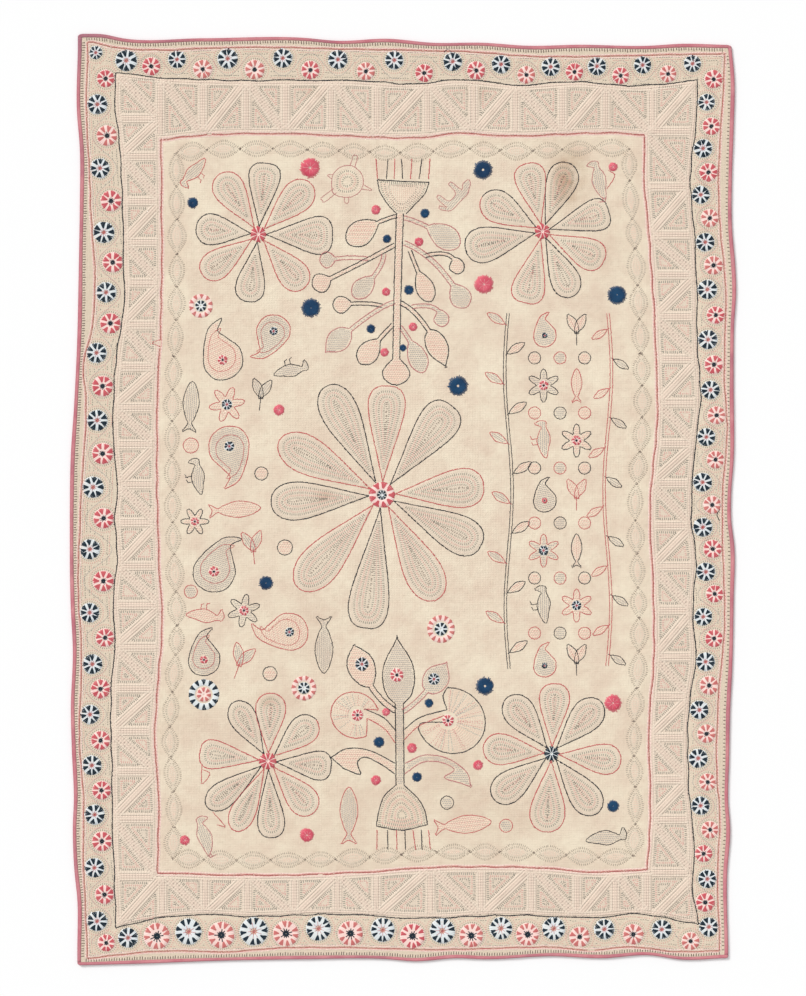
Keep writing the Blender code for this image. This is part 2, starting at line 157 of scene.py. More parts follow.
# The zigzag: where its cross bars stand along each side. The first slanting bar begins on the inner line,
# and on one side on the outer one. In one corner square the slanting bar takes the other diagonal
ZIGZAG = {
    "left": (
        762, 686, 596, 514, 433, 349, 265, 184, 110,
        30, -46, -133, -211, -295, -378, -463, -544, -637, -753,
    ),
    "top": (-485, -400, -313, -235, -143, -52, 49, 141, 225, 319, 405, 498),
    "right": (
        736, 625, 529, 449, 366, 281, 193, 112, 32,
        -52, -134, -221, -314, -394, -475, -560, -639, -745,
    ),
    "bottom": (-481, -395, -311, -217, -131, -53, 55, 156, 257, 348, 424, 487),
}
OUTER_FIRST = "top"
CROSSED_CORNER = ("right", "bottom")
BAR_HALF = 10.5
# The chain of leaves: how far it lies inside the inner line, a leaf's length and half width, and the rows
# round each: how far in from its outline, the piece, and a stitch's length
CHAIN_INSET = 30.0
LEAF = 66.0
LEAF_HALF = 17.0
CHAIN_ROWS = ((0.0, "chain_fawn", 4.6), (6.0, "chain_fawn", 3.8), (11.5, "chain_pink", 3.6))

# Wheels along each side: (number, place along the side, radius), evenly spaced between the rows. They touch
# the seam and the outer line by turns, but those at the bottom stand near the middle. On the right, red and
# blue ones change places from one number on
WHEELS = {
    "left": (
        (0, 789, 20), (2, 663, 19), (4, 533, 20), (8, 293, 20), (12, 25, 20), (16, -225, 19),
        (20, -431, 18), (24, -631, 19), (28, -843, 19), (29, -887, 16),
    ),
    "top": (
        (0, -553, 20), (1, -502, 17), (4, -350, 19), (8, -130, 18), (12, 98, 18), (16, 296, 17),
        (20, 480, 17), (22, 580, 17),
    ),
    "right": (
        (0, 840, 17), (4, 654, 17), (8, 469, 18), (12, 268, 18), (14, 169, 18), (16, 79, 17),
        (20, -99, 18), (24, -278, 17), (28, -468, 18), (32, -660, 17), (36, -854, 18),
    ),
    "bottom": (
        (0, -548, 20), (1, -492, 26), (4, -298, 26), (8, -40, 24), (12, 196, 22), (16, 404, 20),
        (19, 574, 18),
    ),
}
CORNER_WHEELS = ((-614, 893, 13, "blue"), (-594, 841, 17, "red"))
RIGHT_SWAP = 33
# The share of the red wheels in a duller red
DUSTY_SHARE = {"right": 0.6, "bottom": 0.9, "top": 0.5}

# Flowers: (centre x, centre y), hub radius, hub colour, then each petal's (direction, length, width, how
# blunt its tip is, outline colour, or one for its left side and one for its right)
FLOWERS = (
    (
        (-42, 9),
        26,
        "red",
        (
            (5, 204, 78, 0.6, "red"), (52, 226, 80, 0.9, "dark"), (87, 218, 74, 0.9, "red"),
            (117, 244, 74, 0.5, "dark"), (152, 232, 76, 0.3, "red"), (184, 222, 76, 0.5, "dark"),
            (228, 250, 80, 0.3, "red"), (263, 268, 80, 0.9, "dark"), (298, 236, 76, 0.4, "red"),
            (333, 222, 76, 0.7, "dark"),
        ),
    ),
    (
        (-289, 530),
        15,
        "red",
        (
            (44, 146, 62, 0.3, "red"), (84, 143, 63, 0.9, "dark"), (123, 143, 62, 0.4, "red"),
            (174, 125, 62, 0.4, "dark"), (216, 138, 58, 0.4, "red"), (261, 136, 58, 0.6, "dark"),
            (311, 141, 60, 0.4, "red"), (359, 148, 76, 0.9, "dark"),
        ),
    ),
    (
        (279, 536),
        14,
        "red",
        (
            (17, 138, 64, 1.0, "dark"), (69, 146, 62, 0.4, "dark"), (103, 139, 62, 0.7, "red"),
            (151, 139, 64, 0.2, "red dark"), (193, 158, 70, 0.5, "dark"), (256, 147, 66, 0.9, "red"),
            (295, 143, 58, 0.4, "dark"), (334, 136, 62, 0.6, "red"),
        ),
    ),
    (
        (-270, -523),
        16,
        "red",
        (
            (41, 127, 58, 0.2, "dark red"), (87, 136, 60, 0.4, "red"), (120, 136, 54, 0.2, "dark"),
            (173, 137, 58, 0.9, "red"), (217, 152, 52, 0.3, "dark"), (244, 154, 50, 0.3, "red"),
            (273, 153, 54, 0.7, "dark"), (312, 138, 60, 0.3, "red"), (355, 127, 58, 0.8, "dark"),
        ),
    ),
    (
        (297, -508),
        14,
        "dark",
        (
            (47, 143, 62, 0.2, "dark"), (87, 140, 60, 0.6, "red"), (128, 143, 62, 0.2, "dark"),
            (175, 137, 62, 0.3, "red"), (218, 147, 62, 0.3, "dark"), (266, 157, 70, 0.4, "red"),
            (308, 150, 62, 0.3, "dark"), (354, 139, 60, 0.5, "red"),
        ),
    ),
)
LARGE_HUB = 20
# Echoes inside a petal: distance in from its outline, stitch colour, stitch length
ECHOES = (
    (5.0, "peach", 4.2),
    (10.8, "grey", 4.6),
    (16.2, "pink", 3.8),
    (21.6, "grey", 4.2),
    (27.0, "pink", 3.6),
    (32.0, "grey", 3.6),
)

# Tufts of the open field: x, y, diameter, colour
DOTS = (
    (-186, 663, 40, "rose"), (160, 659, 38, "blue"), (-420, 593, 22, "blue"), (-184, 383, 38, "blue"),
    (110, 227, 40, "blue"), (428, 409, 38, "blue"), (-248, 179, 22, "rose"), (-274, -167, 28, "blue"),
    (420, 665, 18, "rose"), (164, -373, 36, "blue"), (420, -407, 34, "rose"), (420, -613, 24, "blue"),
    (-436, -681, 20, "rose"), (-192, -671, 28, "rose"), (162, 430, 38, "rose"), (-54, 579, 19, "rose"),
    (32, 515, 18, "rose"), (-34, 415, 17, "rose"), (20, 345, 17, "rose"), (-37, 294, 17, "rose"),
    (-34, -425, 16, "rose"), (18, -497, 20, "rose"), (150, -531, 20, "rose"), (-54, -561, 20, "rose"),
    (44, 572, 19, "blue"), (-32, 521, 17, "blue"), (12, 419, 20, "blue"), (-64, 341, 18, "blue"),
    (0, 303, 14, "blue"), (52, -407, 18, "blue"), (-48, -485, 22, "blue"), (28, -555, 20, "blue"),
)
OPEN_TUFTS = ((160, 659), (110, 227), (164, -373), (-186, 663))
# Ringed rosettes: x, y, radius, wedges, outer colour, inner colour
ROSETTES = (
    (-404, 387, 24, 10, "red", "dark"),
    (-398, -390, 31, 12, "dark", "red"),
    (-198, -377, 25, 11, "red", "dark"),
    (76, -259, 28, 13, "red", "dark"),
)


def toward(degrees):
    """The unit direction at an angle."""
    angle = math.radians(degrees)
    return np.array([math.cos(angle), math.sin(angle)])


def around(turns):
    """Points of the unit circle at angles in radians."""
    return np.stack([np.cos(turns), np.sin(turns)], -1)


def unit(way):
    """The direction of one line, one long."""
    return way / np.hypot(*way)


def units(ways):
    """The unit directions of many, where some may have no length."""
    return ways / np.maximum(np.hypot(*ways.T), 1e-6)[:, None]


def lengths_to(path):
    """How far it is along a path to each of its points."""
    return np.concatenate([[0.0], np.cumsum(np.hypot(*np.diff(path, axis=0).T))])


def bent(t, start, middle, end):
    """Points of a soft bend from start past middle to end, at shares of its course."""
    return (1 - t) ** 2 * start + 2 * t * (1 - t) * middle + t ** 2 * end


def across(ways):
    """The directions a quarter turn to the left of one direction or of many."""
    return np.stack([-ways[..., 1], ways[..., 0]], -1)


def inset(line, side, along):
    """How far in a line lies at places along a side, as a soft curve through the table's rows."""
    places, values = np.array(line[side], float).T
    slopes = np.gradient(values, places)
    i = np.clip(np.searchsorted(places, along) - 1, 0, len(places) - 2)
    span = places[i + 1] - places[i]
    t = np.clip((along - places[i]) / span, 0.0, 1.0)
    start = (1 + 2 * t) * (1 - t) ** 2 * values[i] + t * (1 - t) ** 2 * span * slopes[i]
    end = t * t * (3 - 2 * t) * values[i + 1] + t * t * (t - 1) * span * slopes[i + 1]
    return np.maximum(0.0, start + end)


def place(side, along, depth):
    """Points at places along a side, a depth in from the rectangle."""
    along, depth = np.broadcast_arrays(np.asarray(along, float), np.asarray(depth, float))
    if side in ("left", "right"):
        x = HALF_WIDTH - depth
        return np.stack([-x if side == "left" else x, along], -1)
    y = HALF_LENGTH - depth
    return np.stack([along, -y if side == "bottom" else y], -1)


def along_of(side, point):
    return point[1] if side in ("left", "right") else point[0]


def corner(line, first, second, shift=0.0):
    """Where a line turns from one side to the next."""
    upright, level = (first, second) if first in ("left", "right") else (second, first)
    y = place(level, 0.0, 0.0)[1]
    for _ in range(8):
        x = place(upright, y, inset(line, upright, y) + shift)[0]
        y = place(level, x, inset(line, level, x) + shift)[1]
    return np.array([x, y])


def side_after(side):
    return SIDES[(SIDES.index(side) + 1) % 4]


def side_before(side):
    return SIDES[(SIDES.index(side) - 1) % 4]


def run(line, side, start, end, step, shift=0.0):
    """Points on one side of a line from one place to another, both ends with them."""
    count = max(2, round(abs(end - start) / step)) + 1
    along = np.linspace(start, end, count)
    return place(side, along, inset(line, side, along) + shift)


def reach_of(line, side, shift=0.0):
    """Where a line's run along a side begins and ends."""
    start = along_of(side, corner(line, side_before(side), side, shift))
    end = along_of(side, corner(line, side, side_after(side), shift))
    return start, end


def ring(line, step=4.0, shift=0.0):
    """A line's four sides as one closed path, clockwise from the lower left corner."""
    return np.vstack([run(line, side, *reach_of(line, side, shift), step, shift)[:-1] for side in SIDES])


def side_depths(x, y):
    """Each side's depth and place along it, for points."""
    return {
        "left": (x + HALF_WIDTH, y),
        "right": (HALF_WIDTH - x, y),
        "top": (HALF_LENGTH - y, x),
        "bottom": (y + HALF_LENGTH, x),
    }


def gap_to(line, x, y):
    """How far inside a line points lie, negative outside it."""
    depths = side_depths(x, y).items()
    return np.minimum.reduce([depth - inset(line, side, along) for side, (depth, along) in depths])


def between(points, outside, inside, margin):
    """True for points between two lines of the cloth, at least a margin from both."""
    return (gap_to(outside, *points.T) > margin) & (gap_to(inside, *points.T) < -margin)


def bump(distance, half):
    """A soft ridge of height one across a distance."""
    share = np.clip(np.abs(distance) / half, 0.0, 1.0)
    return 0.5 + 0.5 * np.cos(np.pi * share)


def lift_off_floor(gap):
    """The underside's height: flat on the floor but for the rim, which stands on the strips' lower legs."""
    share = np.clip((gap - RIM_FLAT) / RIM_SLOPE, 0.0, 1.0)
    return RIM_LIFT * (1.0 - share * share * (3.0 - 2.0 * share))


def in_band(side, along, share):
    """Points of the zigzag band, from share 0 on its outer line to 1 on its inner one."""
    outer = inset(OUTER, side, along)
    return place(side, along, outer + (inset(INNER, side, along) - outer) * share)


def zigzag_cells():
    """The zigzag's cross bars and slanting bars as (start, end), and its triangles as three corners."""
    crosses, slants, triangles = [], [], []
    for side, places in ZIGZAG.items():
        crosses += [(in_band(side, at, 0.05), in_band(side, at, 0.95)) for at in places]
        share = 0.0 if side == OUTER_FIRST else 1.0
        for at, after in zip(places, places[1:]):
            start, end = in_band(side, at, share), in_band(side, after, 1.0 - share)
            slants.append((start, end))
            triangles.append((start, in_band(side, after, share), end))
            triangles.append((start, in_band(side, at, 1.0 - share), end))
            share = 1.0 - share
    for upright, end in (("left", 0), ("right", -1)):
        for level, stop in (("top", 0), ("bottom", -1)):
            far = corner(OUTER, upright, level)
            near = np.array([ZIGZAG[level][end], ZIGZAG[upright][stop]], float)
            if (upright, level) == CROSSED_CORNER:
                far, near = np.array([near[0], far[1]]), np.array([far[0], near[1]])
            slants.append((far, near))
            for third in ((far[0], near[1]), (near[0], far[1])):
                triangles.append((far, np.array(third), near))
    return crosses, slants, triangles


def chain_leaves():
    """The leaves of the chain along the inner line, as (side, low, high, half)."""
    leaves = []
    for side in SIDES:
        begin, finish = reach_of(INNER, side, CHAIN_INSET)
        count = round(abs(finish - begin) / LEAF)
        places = np.linspace(begin, finish, count + 1)
        places[1:-1] += rng.uniform(-5.0, 5.0, count - 1)
        halves = LEAF_HALF * rng.uniform(0.82, 1.08, count)
        leaves += list(zip([side] * count, places[:-1], places[1:], halves))
    return leaves


def petal_half(share, blunt):
    """A petal's half width along its length, as a share of its widest, from a round tip to a blunt one."""
    full = 0.55 - 0.25 * blunt
    return np.sin(np.pi * np.clip(share, 0.0, 1.0) ** (1.04 / full)) ** full


def petal_path(centre, hub, petal, shrink):
    """A petal's outline, or an echo of it a distance inside, from the hub round the tip and back."""
    direction, length, width, blunt, _ = petal
    foot = hub + 2.4 * shrink
    tip = length - shrink
    turn = np.linspace(0.0, 2.0 * np.pi, 90)
    share = np.sin(turn / 2) ** 1.5
    half = (width / 2 - shrink) * petal_half(share, blunt) * np.sign(np.sin(turn))
    out = foot + (tip - foot) * share
    ahead = toward(direction)
    return np.array(centre, float) + out[:, None] * ahead + half[:, None] * across(ahead)


class Ground:
    """The worked upper face of the cloth: a grid of heights that threads lie on."""

    ACROSS = 232
    ALONG = 324
    INSIDE = STRIP + CLEAR

    def __init__(self, crosses, slants, triangles, leaves):
        u, v = np.meshgrid(np.linspace(0, 1, self.ACROSS + 1), np.linspace(0, 1, self.ALONG + 1))
        x, y = (u - 0.5) * 2 * HALF_WIDTH, (v - 0.5) * 2 * HALF_LENGTH
        # the limits hang on the places themselves, so a few rounds settle them
        for _ in range(6):
            left, right, low, high = self.limits(x, y)
            x, y = left + u * (right - left), low + v * (high - low)
        # where the face lies before its corners are rounded
        self.flat = (x, y)
        self.gap = gap_to(EDGE, x, y)
        self.worked = np.zeros_like(x)
        self.z = self.height(x, y, crosses, slants, leaves)
        for corners in triangles:
            self.mark_triangle(x, y, corners)
        self.x, self.y = self.rounded(x, y)

    def limits(self, x, y):
        """How far the face reaches to each side, level with points."""
        left = -HALF_WIDTH + inset(EDGE, "left", y) + self.INSIDE
        right = HALF_WIDTH - inset(EDGE, "right", y) - self.INSIDE
        low = -HALF_LENGTH + inset(EDGE, "bottom", x) + self.INSIDE
        high = HALF_LENGTH - inset(EDGE, "top", x) - self.INSIDE
        return left, right, low, high

    def rounded(self, x, y):
        """The grid drawn in at its corners, so that they are as round as the strips over them."""
        x, y = x.copy(), y.copy()
        left, right, low, high = self.limits(x, y)
        for (upright, level), radius in CORNER_RADIUS.items():
            across = x - left if upright == "left" else right - x
            along = high - y if level == "top" else y - low
            a, b = radius - across, radius - along
            near = (a > 0) & (b > 0)
            pull = 1.0 - np.maximum(a, b)[near] / np.hypot(a, b)[near]
            x[near] += (1 if upright == "left" else -1) * a[near] * pull
            y[near] += (-1 if level == "top" else 1) * b[near] * pull
        return x, y

    def at(self, points):
        """The face's height under points."""
        x, y = points[:, 0], points[:, 1]
        left, right, low, high = self.limits(x, y)
        i = np.clip((x - left) / (right - left) * self.ACROSS, 0, self.ACROSS - 1e-6)
        j = np.clip((y - low) / (high - low) * self.ALONG, 0, self.ALONG - 1e-6)
        i0, j0 = i.astype(int), j.astype(int)
        a, b = i - i0, j - j0
        near, far = self.z[j0, i0], self.z[j0 + 1, i0 + 1]
        below = near + a * (self.z[j0, i0 + 1] - near) + b * (far - self.z[j0, i0 + 1])
        above = near + b * (self.z[j0 + 1, i0] - near) + a * (far - self.z[j0 + 1, i0])
        return np.where(a > b, below, above)

    def height(self, x, y, crosses, slants, leaves):
        """The face's height: lines sunk in, bars, leaves and petals raised, the ground uneven all over."""
        lift = lift_off_floor(self.gap)
        z = lift + CLOTH
        inside = 1.0 - lift / RIM_LIFT
        for rise, (x_wave, x_sway, x_turn), (y_wave, y_sway, y_turn) in SWELLS:
            one = np.sin(x / x_wave + x_sway * np.sin(y / x_turn))
            z += rise * inside * one * np.sin(y / y_wave + y_sway * np.sin(x / y_turn))
        seam, outer, inner = (gap_to(line, x, y) for line in (SEAM, OUTER, INNER))
        z -= sum(depth * bump(gap, half) for gap, (depth, half) in zip((seam, outer, inner), TROUGHS))
        z += BAND_SWELL * np.sin(np.pi * np.clip(seam / np.maximum(seam - outer, 1.0), 0.0, 1.0))
        for bars, (rise, half) in ((crosses, CROSS_RIDGE), (slants, SLANT_RIDGE)):
            for start, end in bars:
                z += rise * self.ridge(x, y, start, end, half)
        for leaf in leaves:
            self.add_leaf(z, x, y, leaf)
        for centre, hub, _, petals in FLOWERS:
            for petal in petals:
                self.add_petal(z, x, y, centre, hub, petal)
        return z

    def ridge(self, x, y, start, end, half):
        """A low ridge with round ends between two points."""
        way = end - start
        length = np.hypot(*way)
        way = way / length
        t = np.clip((x - start[0]) * way[0] + (y - start[1]) * way[1], half, length - half)
        return bump(np.hypot(x - start[0] - t * way[0], y - start[1] - t * way[1]), half)

    def add_leaf(self, z, x, y, leaf):
        side, low, high, half = leaf
        depth, along = side_depths(x, y)[side]
        share = (along - low) / (high - low)
        near = (share > 0) & (share < 1) & (depth < 320)
        off = depth[near] - inset(INNER, side, along[near]) - CHAIN_INSET
        wide = half * np.sin(np.pi * share[near]) + 0.01
        trough, trough_half = LEAF_TROUGH
        z[near] += LEAF_RISE * bump(off, wide) - trough * bump(np.abs(off) - wide, trough_half)
        self.mark(near, 0.7 * (wide - np.abs(off)) / 5.0)

    def add_petal(self, z, x, y, centre, hub, petal):
        direction, length, width, blunt, _ = petal
        east, north = toward(direction)
        out = (x - centre[0]) * east + (y - centre[1]) * north
        aside = np.abs((y - centre[1]) * east - (x - centre[0]) * north)
        share = (out - hub) / (length - hub)
        near = (share > 0) & (share < 1) & (aside < width)
        wide = width / 2 * petal_half(share[near], blunt) + 0.01
        inside = np.clip(1.0 - aside[near] / wide, 0.0, 1.0)
        trough, trough_half = PETAL_TROUGH
        sunk = trough * bump(aside[near] - wide, trough_half)
        z[near] += PETAL_RISE * np.sin(0.5 * np.pi * inside) ** 0.8 - sunk
        self.mark(near, 0.8 * (wide - aside[near]) / 6.0)

    def mark(self, near, share):
        """Marks part of the cloth as closely worked, up to 0.8 where the stitches are thickest."""
        self.worked[near] = np.maximum(self.worked[near], np.clip(share, 0.0, 0.8))

    def mark_triangle(self, x, y, corners):
        """Marks the inside of a triangle, but for the bars along its sides."""
        middle = sum(corners) / 3
        near = np.hypot(x - middle[0], y - middle[1]) < 110
        inside = np.full(int(near.sum()), 1e6)
        for start, end, third in zip(corners, corners[1:] + corners[:1], corners[2:] + corners[:2]):
            way = unit(end - start)
            off = way[0] * (y[near] - start[1]) - way[1] * (x[near] - start[0])
            facing = way[0] * (third[1] - start[1]) - way[1] * (third[0] - start[0])
            inside = np.minimum(inside, off * np.sign(facing))
        self.mark(near, (inside - BAR_HALF) / 4.0)


# How far stitches stand over the cloth, and how the stitches of a line overlap and lean
LOW_RISE = 0.35
LINE_RISE = 0.55
LINE_COVER = 1.25
LINE_LEAN = 0.28
# Stitches by piece: rows of start x, start y, end x, end y, width, rise, and how much wider they end
sewn = {}


def lay(piece, starts, ends, width, rise, flare=1.0):
    """Keeps stitches of a piece until it is made."""
    rows = np.empty((len(starts), 7))
    rows[:, 0:2], rows[:, 2:4] = starts, ends
    rows[:, 4], rows[:, 5], rows[:, 6] = width, rise, flare
    sewn.setdefault(piece, []).append(rows)


def spread(path, step, closed=False):
    """Even places along a path, and the unit directions of the path there."""
    points = np.vstack([path, path[:1]]) if closed else np.asarray(path, float)
    so_far = lengths_to(points)
    count = max(1, round(so_far[-1] / step))
    at = (np.arange(count) + 0.5) * so_far[-1] / count

    def read(places):
        places = np.clip(places, 0.0, so_far[-1])
        return np.stack([np.interp(places, so_far, points[:, k]) for k in range(2)], -1)

    return read(at), units(read(at + 0.4 * step) - read(at - 0.4 * step))


def jitter(count, amount):
    """Small random shifts, one for each of many points."""
    return rng.normal(0.0, amount, (count, 2))


def kept_out(points, skip):
    """True for points that lie in none of the circles (x, y, radius)."""
    keep = np.ones(len(points), bool)
    for x, y, radius in skip:
        keep &= np.hypot(points[:, 0] - x, points[:, 1] - y) > radius
    return keep


def line_stitch(piece, path, closed=False, pitch=5.0, width=1.95, skip=(), shift=0.0):
    """Stitches that lean a little and overlap, so that they read as one line."""
    middles, ways = spread(path, pitch, closed)
    keep = kept_out(middles, skip)
    middles, ways = middles[keep], ways[keep]
    side = across(ways)
    middles = middles + side * shift + jitter(len(middles), 0.2)
    half = ways * pitch * LINE_COVER / 2 + side * LINE_LEAN * width
    widths = width * rng.uniform(0.75, 1.2, len(middles))
    lay(piece, middles - half, middles + half, widths, LINE_RISE)


def run_stitch(
    piece, path, closed=False, pitch=5.0, length=3.0, width=1.3, rise=LOW_RISE, skip=(), loose=0.15,
    turn=False,
):
    """Stitches along a path with gaps between them, or turned to lie across it."""
    middles, ways = spread(path, pitch, closed)
    keep = kept_out(middles, skip)
    middles, ways = middles[keep] + jitter(int(keep.sum()), loose), ways[keep]
    if turn:
        ways = across(ways)
    half = ways * length / 2 * rng.uniform(0.8, 1.15, (len(middles), 1))
    lay(piece, middles - half, middles + half, width, rise)


def tick_stitch(piece, path, closed=False, pitch=4.1, length=4.4, width=1.3, loose=0.25):
    """Short stitches side by side across a path."""
    run_stitch(piece, path, closed, pitch, length, width, loose=loose, turn=True)


def within(outline, points, margin=0.0):
    """True for points inside a closed outline, at least a margin from it."""
    ax, ay = outline.T
    bx, by = np.roll(outline, -1, axis=0).T
    px, py = points[:, 0, None], points[:, 1, None]
    rise = np.where(by == ay, 1e-9, by - ay)
    passed = ((ay > py) != (by > py)) & (px < (bx - ax) * (py - ay) / rise + ax)
    inside = passed.sum(1) % 2 == 1
    if margin > 0:
        length2 = np.maximum((bx - ax) ** 2 + (by - ay) ** 2, 1e-9)
        t = np.clip(((px - ax) * (bx - ax) + (py - ay) * (by - ay)) / length2, 0.0, 1.0)
        far = np.hypot(px - ax - t * (bx - ax), py - ay - t * (by - ay)).min(1)
        inside &= far > margin
    return inside


def fill(
    piece, outline, gap=3.9, pitch=3.9, length=3.1, width=2.0, angle=0.0, margin=3.0, skip=(), upright=False
):
    """Rows of small stitches inside a closed outline."""
    ahead = toward(angle)
    aside = across(ahead)
    middle = outline.mean(0)
    far = np.hypot(*(outline - middle).T).max()
    rows, places = np.arange(-far, far, gap), np.arange(-far, far, pitch)
    r, p = np.meshgrid(rows, places, indexing="ij")
    p = p + (np.arange(len(rows)) % 2)[:, None] * (0.0 if upright else pitch / 2)
    points = middle + p.reshape(-1, 1) * ahead + r.reshape(-1, 1) * aside
    points = points[within(outline, points, margin) & kept_out(points, skip)]
    points += jitter(len(points), 0.2)
    half = (aside if upright else ahead) * length / 2
    lay(piece, points - half, points + half, width, LOW_RISE)


def fan(piece, centre, inner, outer, first, last, count, width, rise, narrow, ragged=0.5):
    """Threads side by side from an inner radius to an outer one, between two directions in radians.

    narrow is the share of their spread that they keep at their inner ends.
    """
    angles = first + (np.arange(count) + 0.5) / count * (last - first)
    middle = (first + last) / 2
    feet = middle + (angles - middle) * narrow
    out = outer + rng.normal(0.0, ragged, count)
    starts = np.array(centre) + inner * around(feet)
    ends = np.array(centre) + out[:, None] * around(angles)
    lay(piece, starts, ends, width, rise, 1.0 + 0.5 * (1 - narrow))


def threads_round(piece, centre, inner, outer, first, count, width, rise, ragged=0.5):
    """Threads side by side all round a centre, from a first direction."""
    fan(piece, centre, inner, outer, first, first + 2 * np.pi, count, width, rise, 1.0, ragged)


# How far a wheel's pale threads and its wedges reach, as shares of its radius
WHEEL_RIM = 1.09
WEDGE_RIM = 1.03
# The pale threads, the wedges over them and the star of each colour of wheel
WHEEL_PIECES = {
    "blue": ("wheels_pale_blue", "wheels_dark", "wheels_red"),
    "red": ("wheels_pale_pink", "wheels_red", "wheels_dark"),
    "dusty": ("wheels_pale_pink", "wheels_dusty", "wheels_dark"),
}


def wheel(centre, radius, colour, wedges=8):
    """A wheel of satin stitch: pale threads all round, dark or red wedges over them, and a star inside."""
    pale, wedge, star = WHEEL_PIECES[colour]
    start = rng.uniform(0.0, 2 * np.pi)
    many = wedges > 8
    hub = radius * (0.32 if many else 0.25)
    threads_round(pale, centre, hub * 0.6, radius * WHEEL_RIM, start, round(radius * 1.7), 3.7, 0.45)
    step = 2 * np.pi / wedges
    wide = 0.3 if colour == "dusty" or many else 0.37
    for k in range(wedges):
        middle = start + step * k + rng.normal(0.0, 0.06)
        half = step * rng.uniform(wide - 0.03, wide + 0.03)
        foot = radius * rng.uniform(0.48, 0.54) if many else radius * rng.uniform(0.3, 0.42)
        count = max(4, round(radius * step * 0.42))
        fan(wedge, centre, foot, radius * WEDGE_RIM, middle - half, middle + half, count, 1.9, 0.8, 0.15)
    strands, thick, reach_out = (9, 1.0, 1.7) if colour == "blue" else (11, hub * 0.42, 1.35)
    threads_round(star, centre, 0.3, hub * reach_out, start, strands, thick, 1.0, hub * 0.25)


def wedge_ring(piece, centre, inner, outer, middles, half, *fan_sizes):
    """Wedges of threads, each to both sides of its middle direction."""
    for middle in middles:
        fan(piece, centre, inner, outer, middle - half, middle + half, *fan_sizes)


def ring_rosette(centre, radius, wedges, outer, inner):
    """A ring of separate wedges round a small wheel, all on pale threads."""
    names = {"red": ("wheels_dusty", "wheels_pale_pink"), "dark": ("wheels_dark", "wheels_pale_blue")}
    wedge, pale = names[outer]
    step = 2 * np.pi / wedges
    start = rng.uniform(0.0, 2 * np.pi)
    threads_round(pale, centre, radius * 0.55, radius, start, round(radius * 2.2), 3.0, 0.4)
    middles = start + step * np.arange(wedges)
    wedge_ring(wedge, centre, radius * 0.6, radius, middles, 0.3 * step, 5, 1.8, 0.7, 0.1, 0.3)
    small, ground = names[inner]
    threads_round(ground, centre, 0.6, radius * 0.5, start, round(radius * 0.9), 2.6, 0.4)
    middles = start + 2 * np.pi * np.arange(7) / 7
    wedge_ring(small, centre, radius * 0.16, radius * 0.47, middles, 0.3, 4, 1.8, 0.9, 0.2, 0.2)


def tuft(centre, diameter, colour):
    """A round ragged tuft of threads worked out from its middle, where a few have a wider hole."""
    piece = f"tufts_{colour}"
    radius = diameter / 2
    count = max(20, round(radius * 2.9))
    hole = 0.1 * radius if centre in OPEN_TUFTS else 0.2
    turn = rng.uniform(0.0, 1.0)
    ragged = radius * 0.06
    threads_round(piece, centre, hole, radius * 1.02, turn, count, 1.6, 0.9, ragged)
    threads_round(piece, centre, hole, radius * 0.8, 0.1, count // 2, 2.6, 0.75, ragged)
    if colour == "rose":
        threads_round("wheels_pale_pink", centre, 0.2, radius * 0.7, 0.3, 8, 0.8, 1.15, radius * 0.1)


def curve(points, closed=False, steps=8):
    """A soft path through a few points."""
    p = np.asarray(points, float)
    if closed:
        p = np.vstack([p[-1:], p, p[:2]])
    else:
        p = np.vstack([2 * p[:1] - p[1:2], p, 2 * p[-1:] - p[-2:-1]])
    t = np.linspace(0.0, 1.0, steps, endpoint=False)[:, None]
    made = []
    for a, b, c, d in zip(p, p[1:], p[2:], p[3:]):
        made.append(0.5 * (
            2 * b + (c - a) * t + (2 * a - 5 * b + 4 * c - d) * t ** 2 + (3 * b - a - 3 * c + d) * t ** 3
        ))
    path = np.vstack(made)
    return path if closed else np.vstack([path, p[-2:-1]])


def closed_shape(points, centre, angle, size, flip=False, steps=8):
    """A soft closed outline through points of a shape at size one, turned and set in its place."""
    return turned(curve(points, True, steps), centre, angle, size, flip)


def turned(shape, centre, angle, size, flip=False):
    """A shape drawn about the origin at size one, turned and set in its place."""
    shape = np.asarray(shape, float) * size
    if flip:
        shape = shape * (1, -1)
    ahead = toward(angle)
    return shape @ np.array([ahead, across(ahead)]) + np.array(centre, float)


def outlined(path, line, shade, closed=True, margin=3.0, angle=0.0, skip=(), width=2.0):
    """A motif: its outline in one thread and rows of small stitches inside, of two threads in pink ones."""
    line_stitch(f"{line}_lines", path, closed, width=width)
    if shade == "pink":
        fill("fill_peach", path, 3.7, 4.6, 4.2, 2.6, angle, margin - 0.6, skip)
        fill("fill_pink", path, 8.0, 5.4, 2.8, 1.3, angle, margin + 2.0, skip)
    else:
        fill(f"fill_{shade}", path, margin=margin, angle=angle, skip=skip)


def sprig(root, bend, tip, stem, bud, width, point, line, shade, skip=()):
    """A stem from root past bend that swells into a bud or leaf.

    stem is its half width, then come the bud's length and half width, and how pointed it is, from 0 for a
    round one to 1 for a leaf with a drawn-out tip.
    """
    root, bend, tip = (np.array(p, float) for p in (root, bend, tip))
    t = np.sin(np.linspace(0.0, np.pi / 2, 60))[:, None]
    middle = bent(t, root, bend, tip)
    so_far = lengths_to(middle)
    share = np.clip((so_far - so_far[-1] + bud) / bud, 0.0, 1.0)
    sharp = 0.55 + 0.95 * point * share ** 2
    swell = width * np.abs(np.sin(np.pi * share ** (1.3 - 0.58 * point))) ** sharp
    half = np.where(share > 0.5, swell, np.maximum(stem, swell))[:, None]
    side = across(units(np.gradient(middle, axis=0)))
    outline = np.vstack([middle + side * half, (middle - side * half)[::-1]])
    outlined(outline, line, shade, closed=False, margin=2.6, skip=skip)


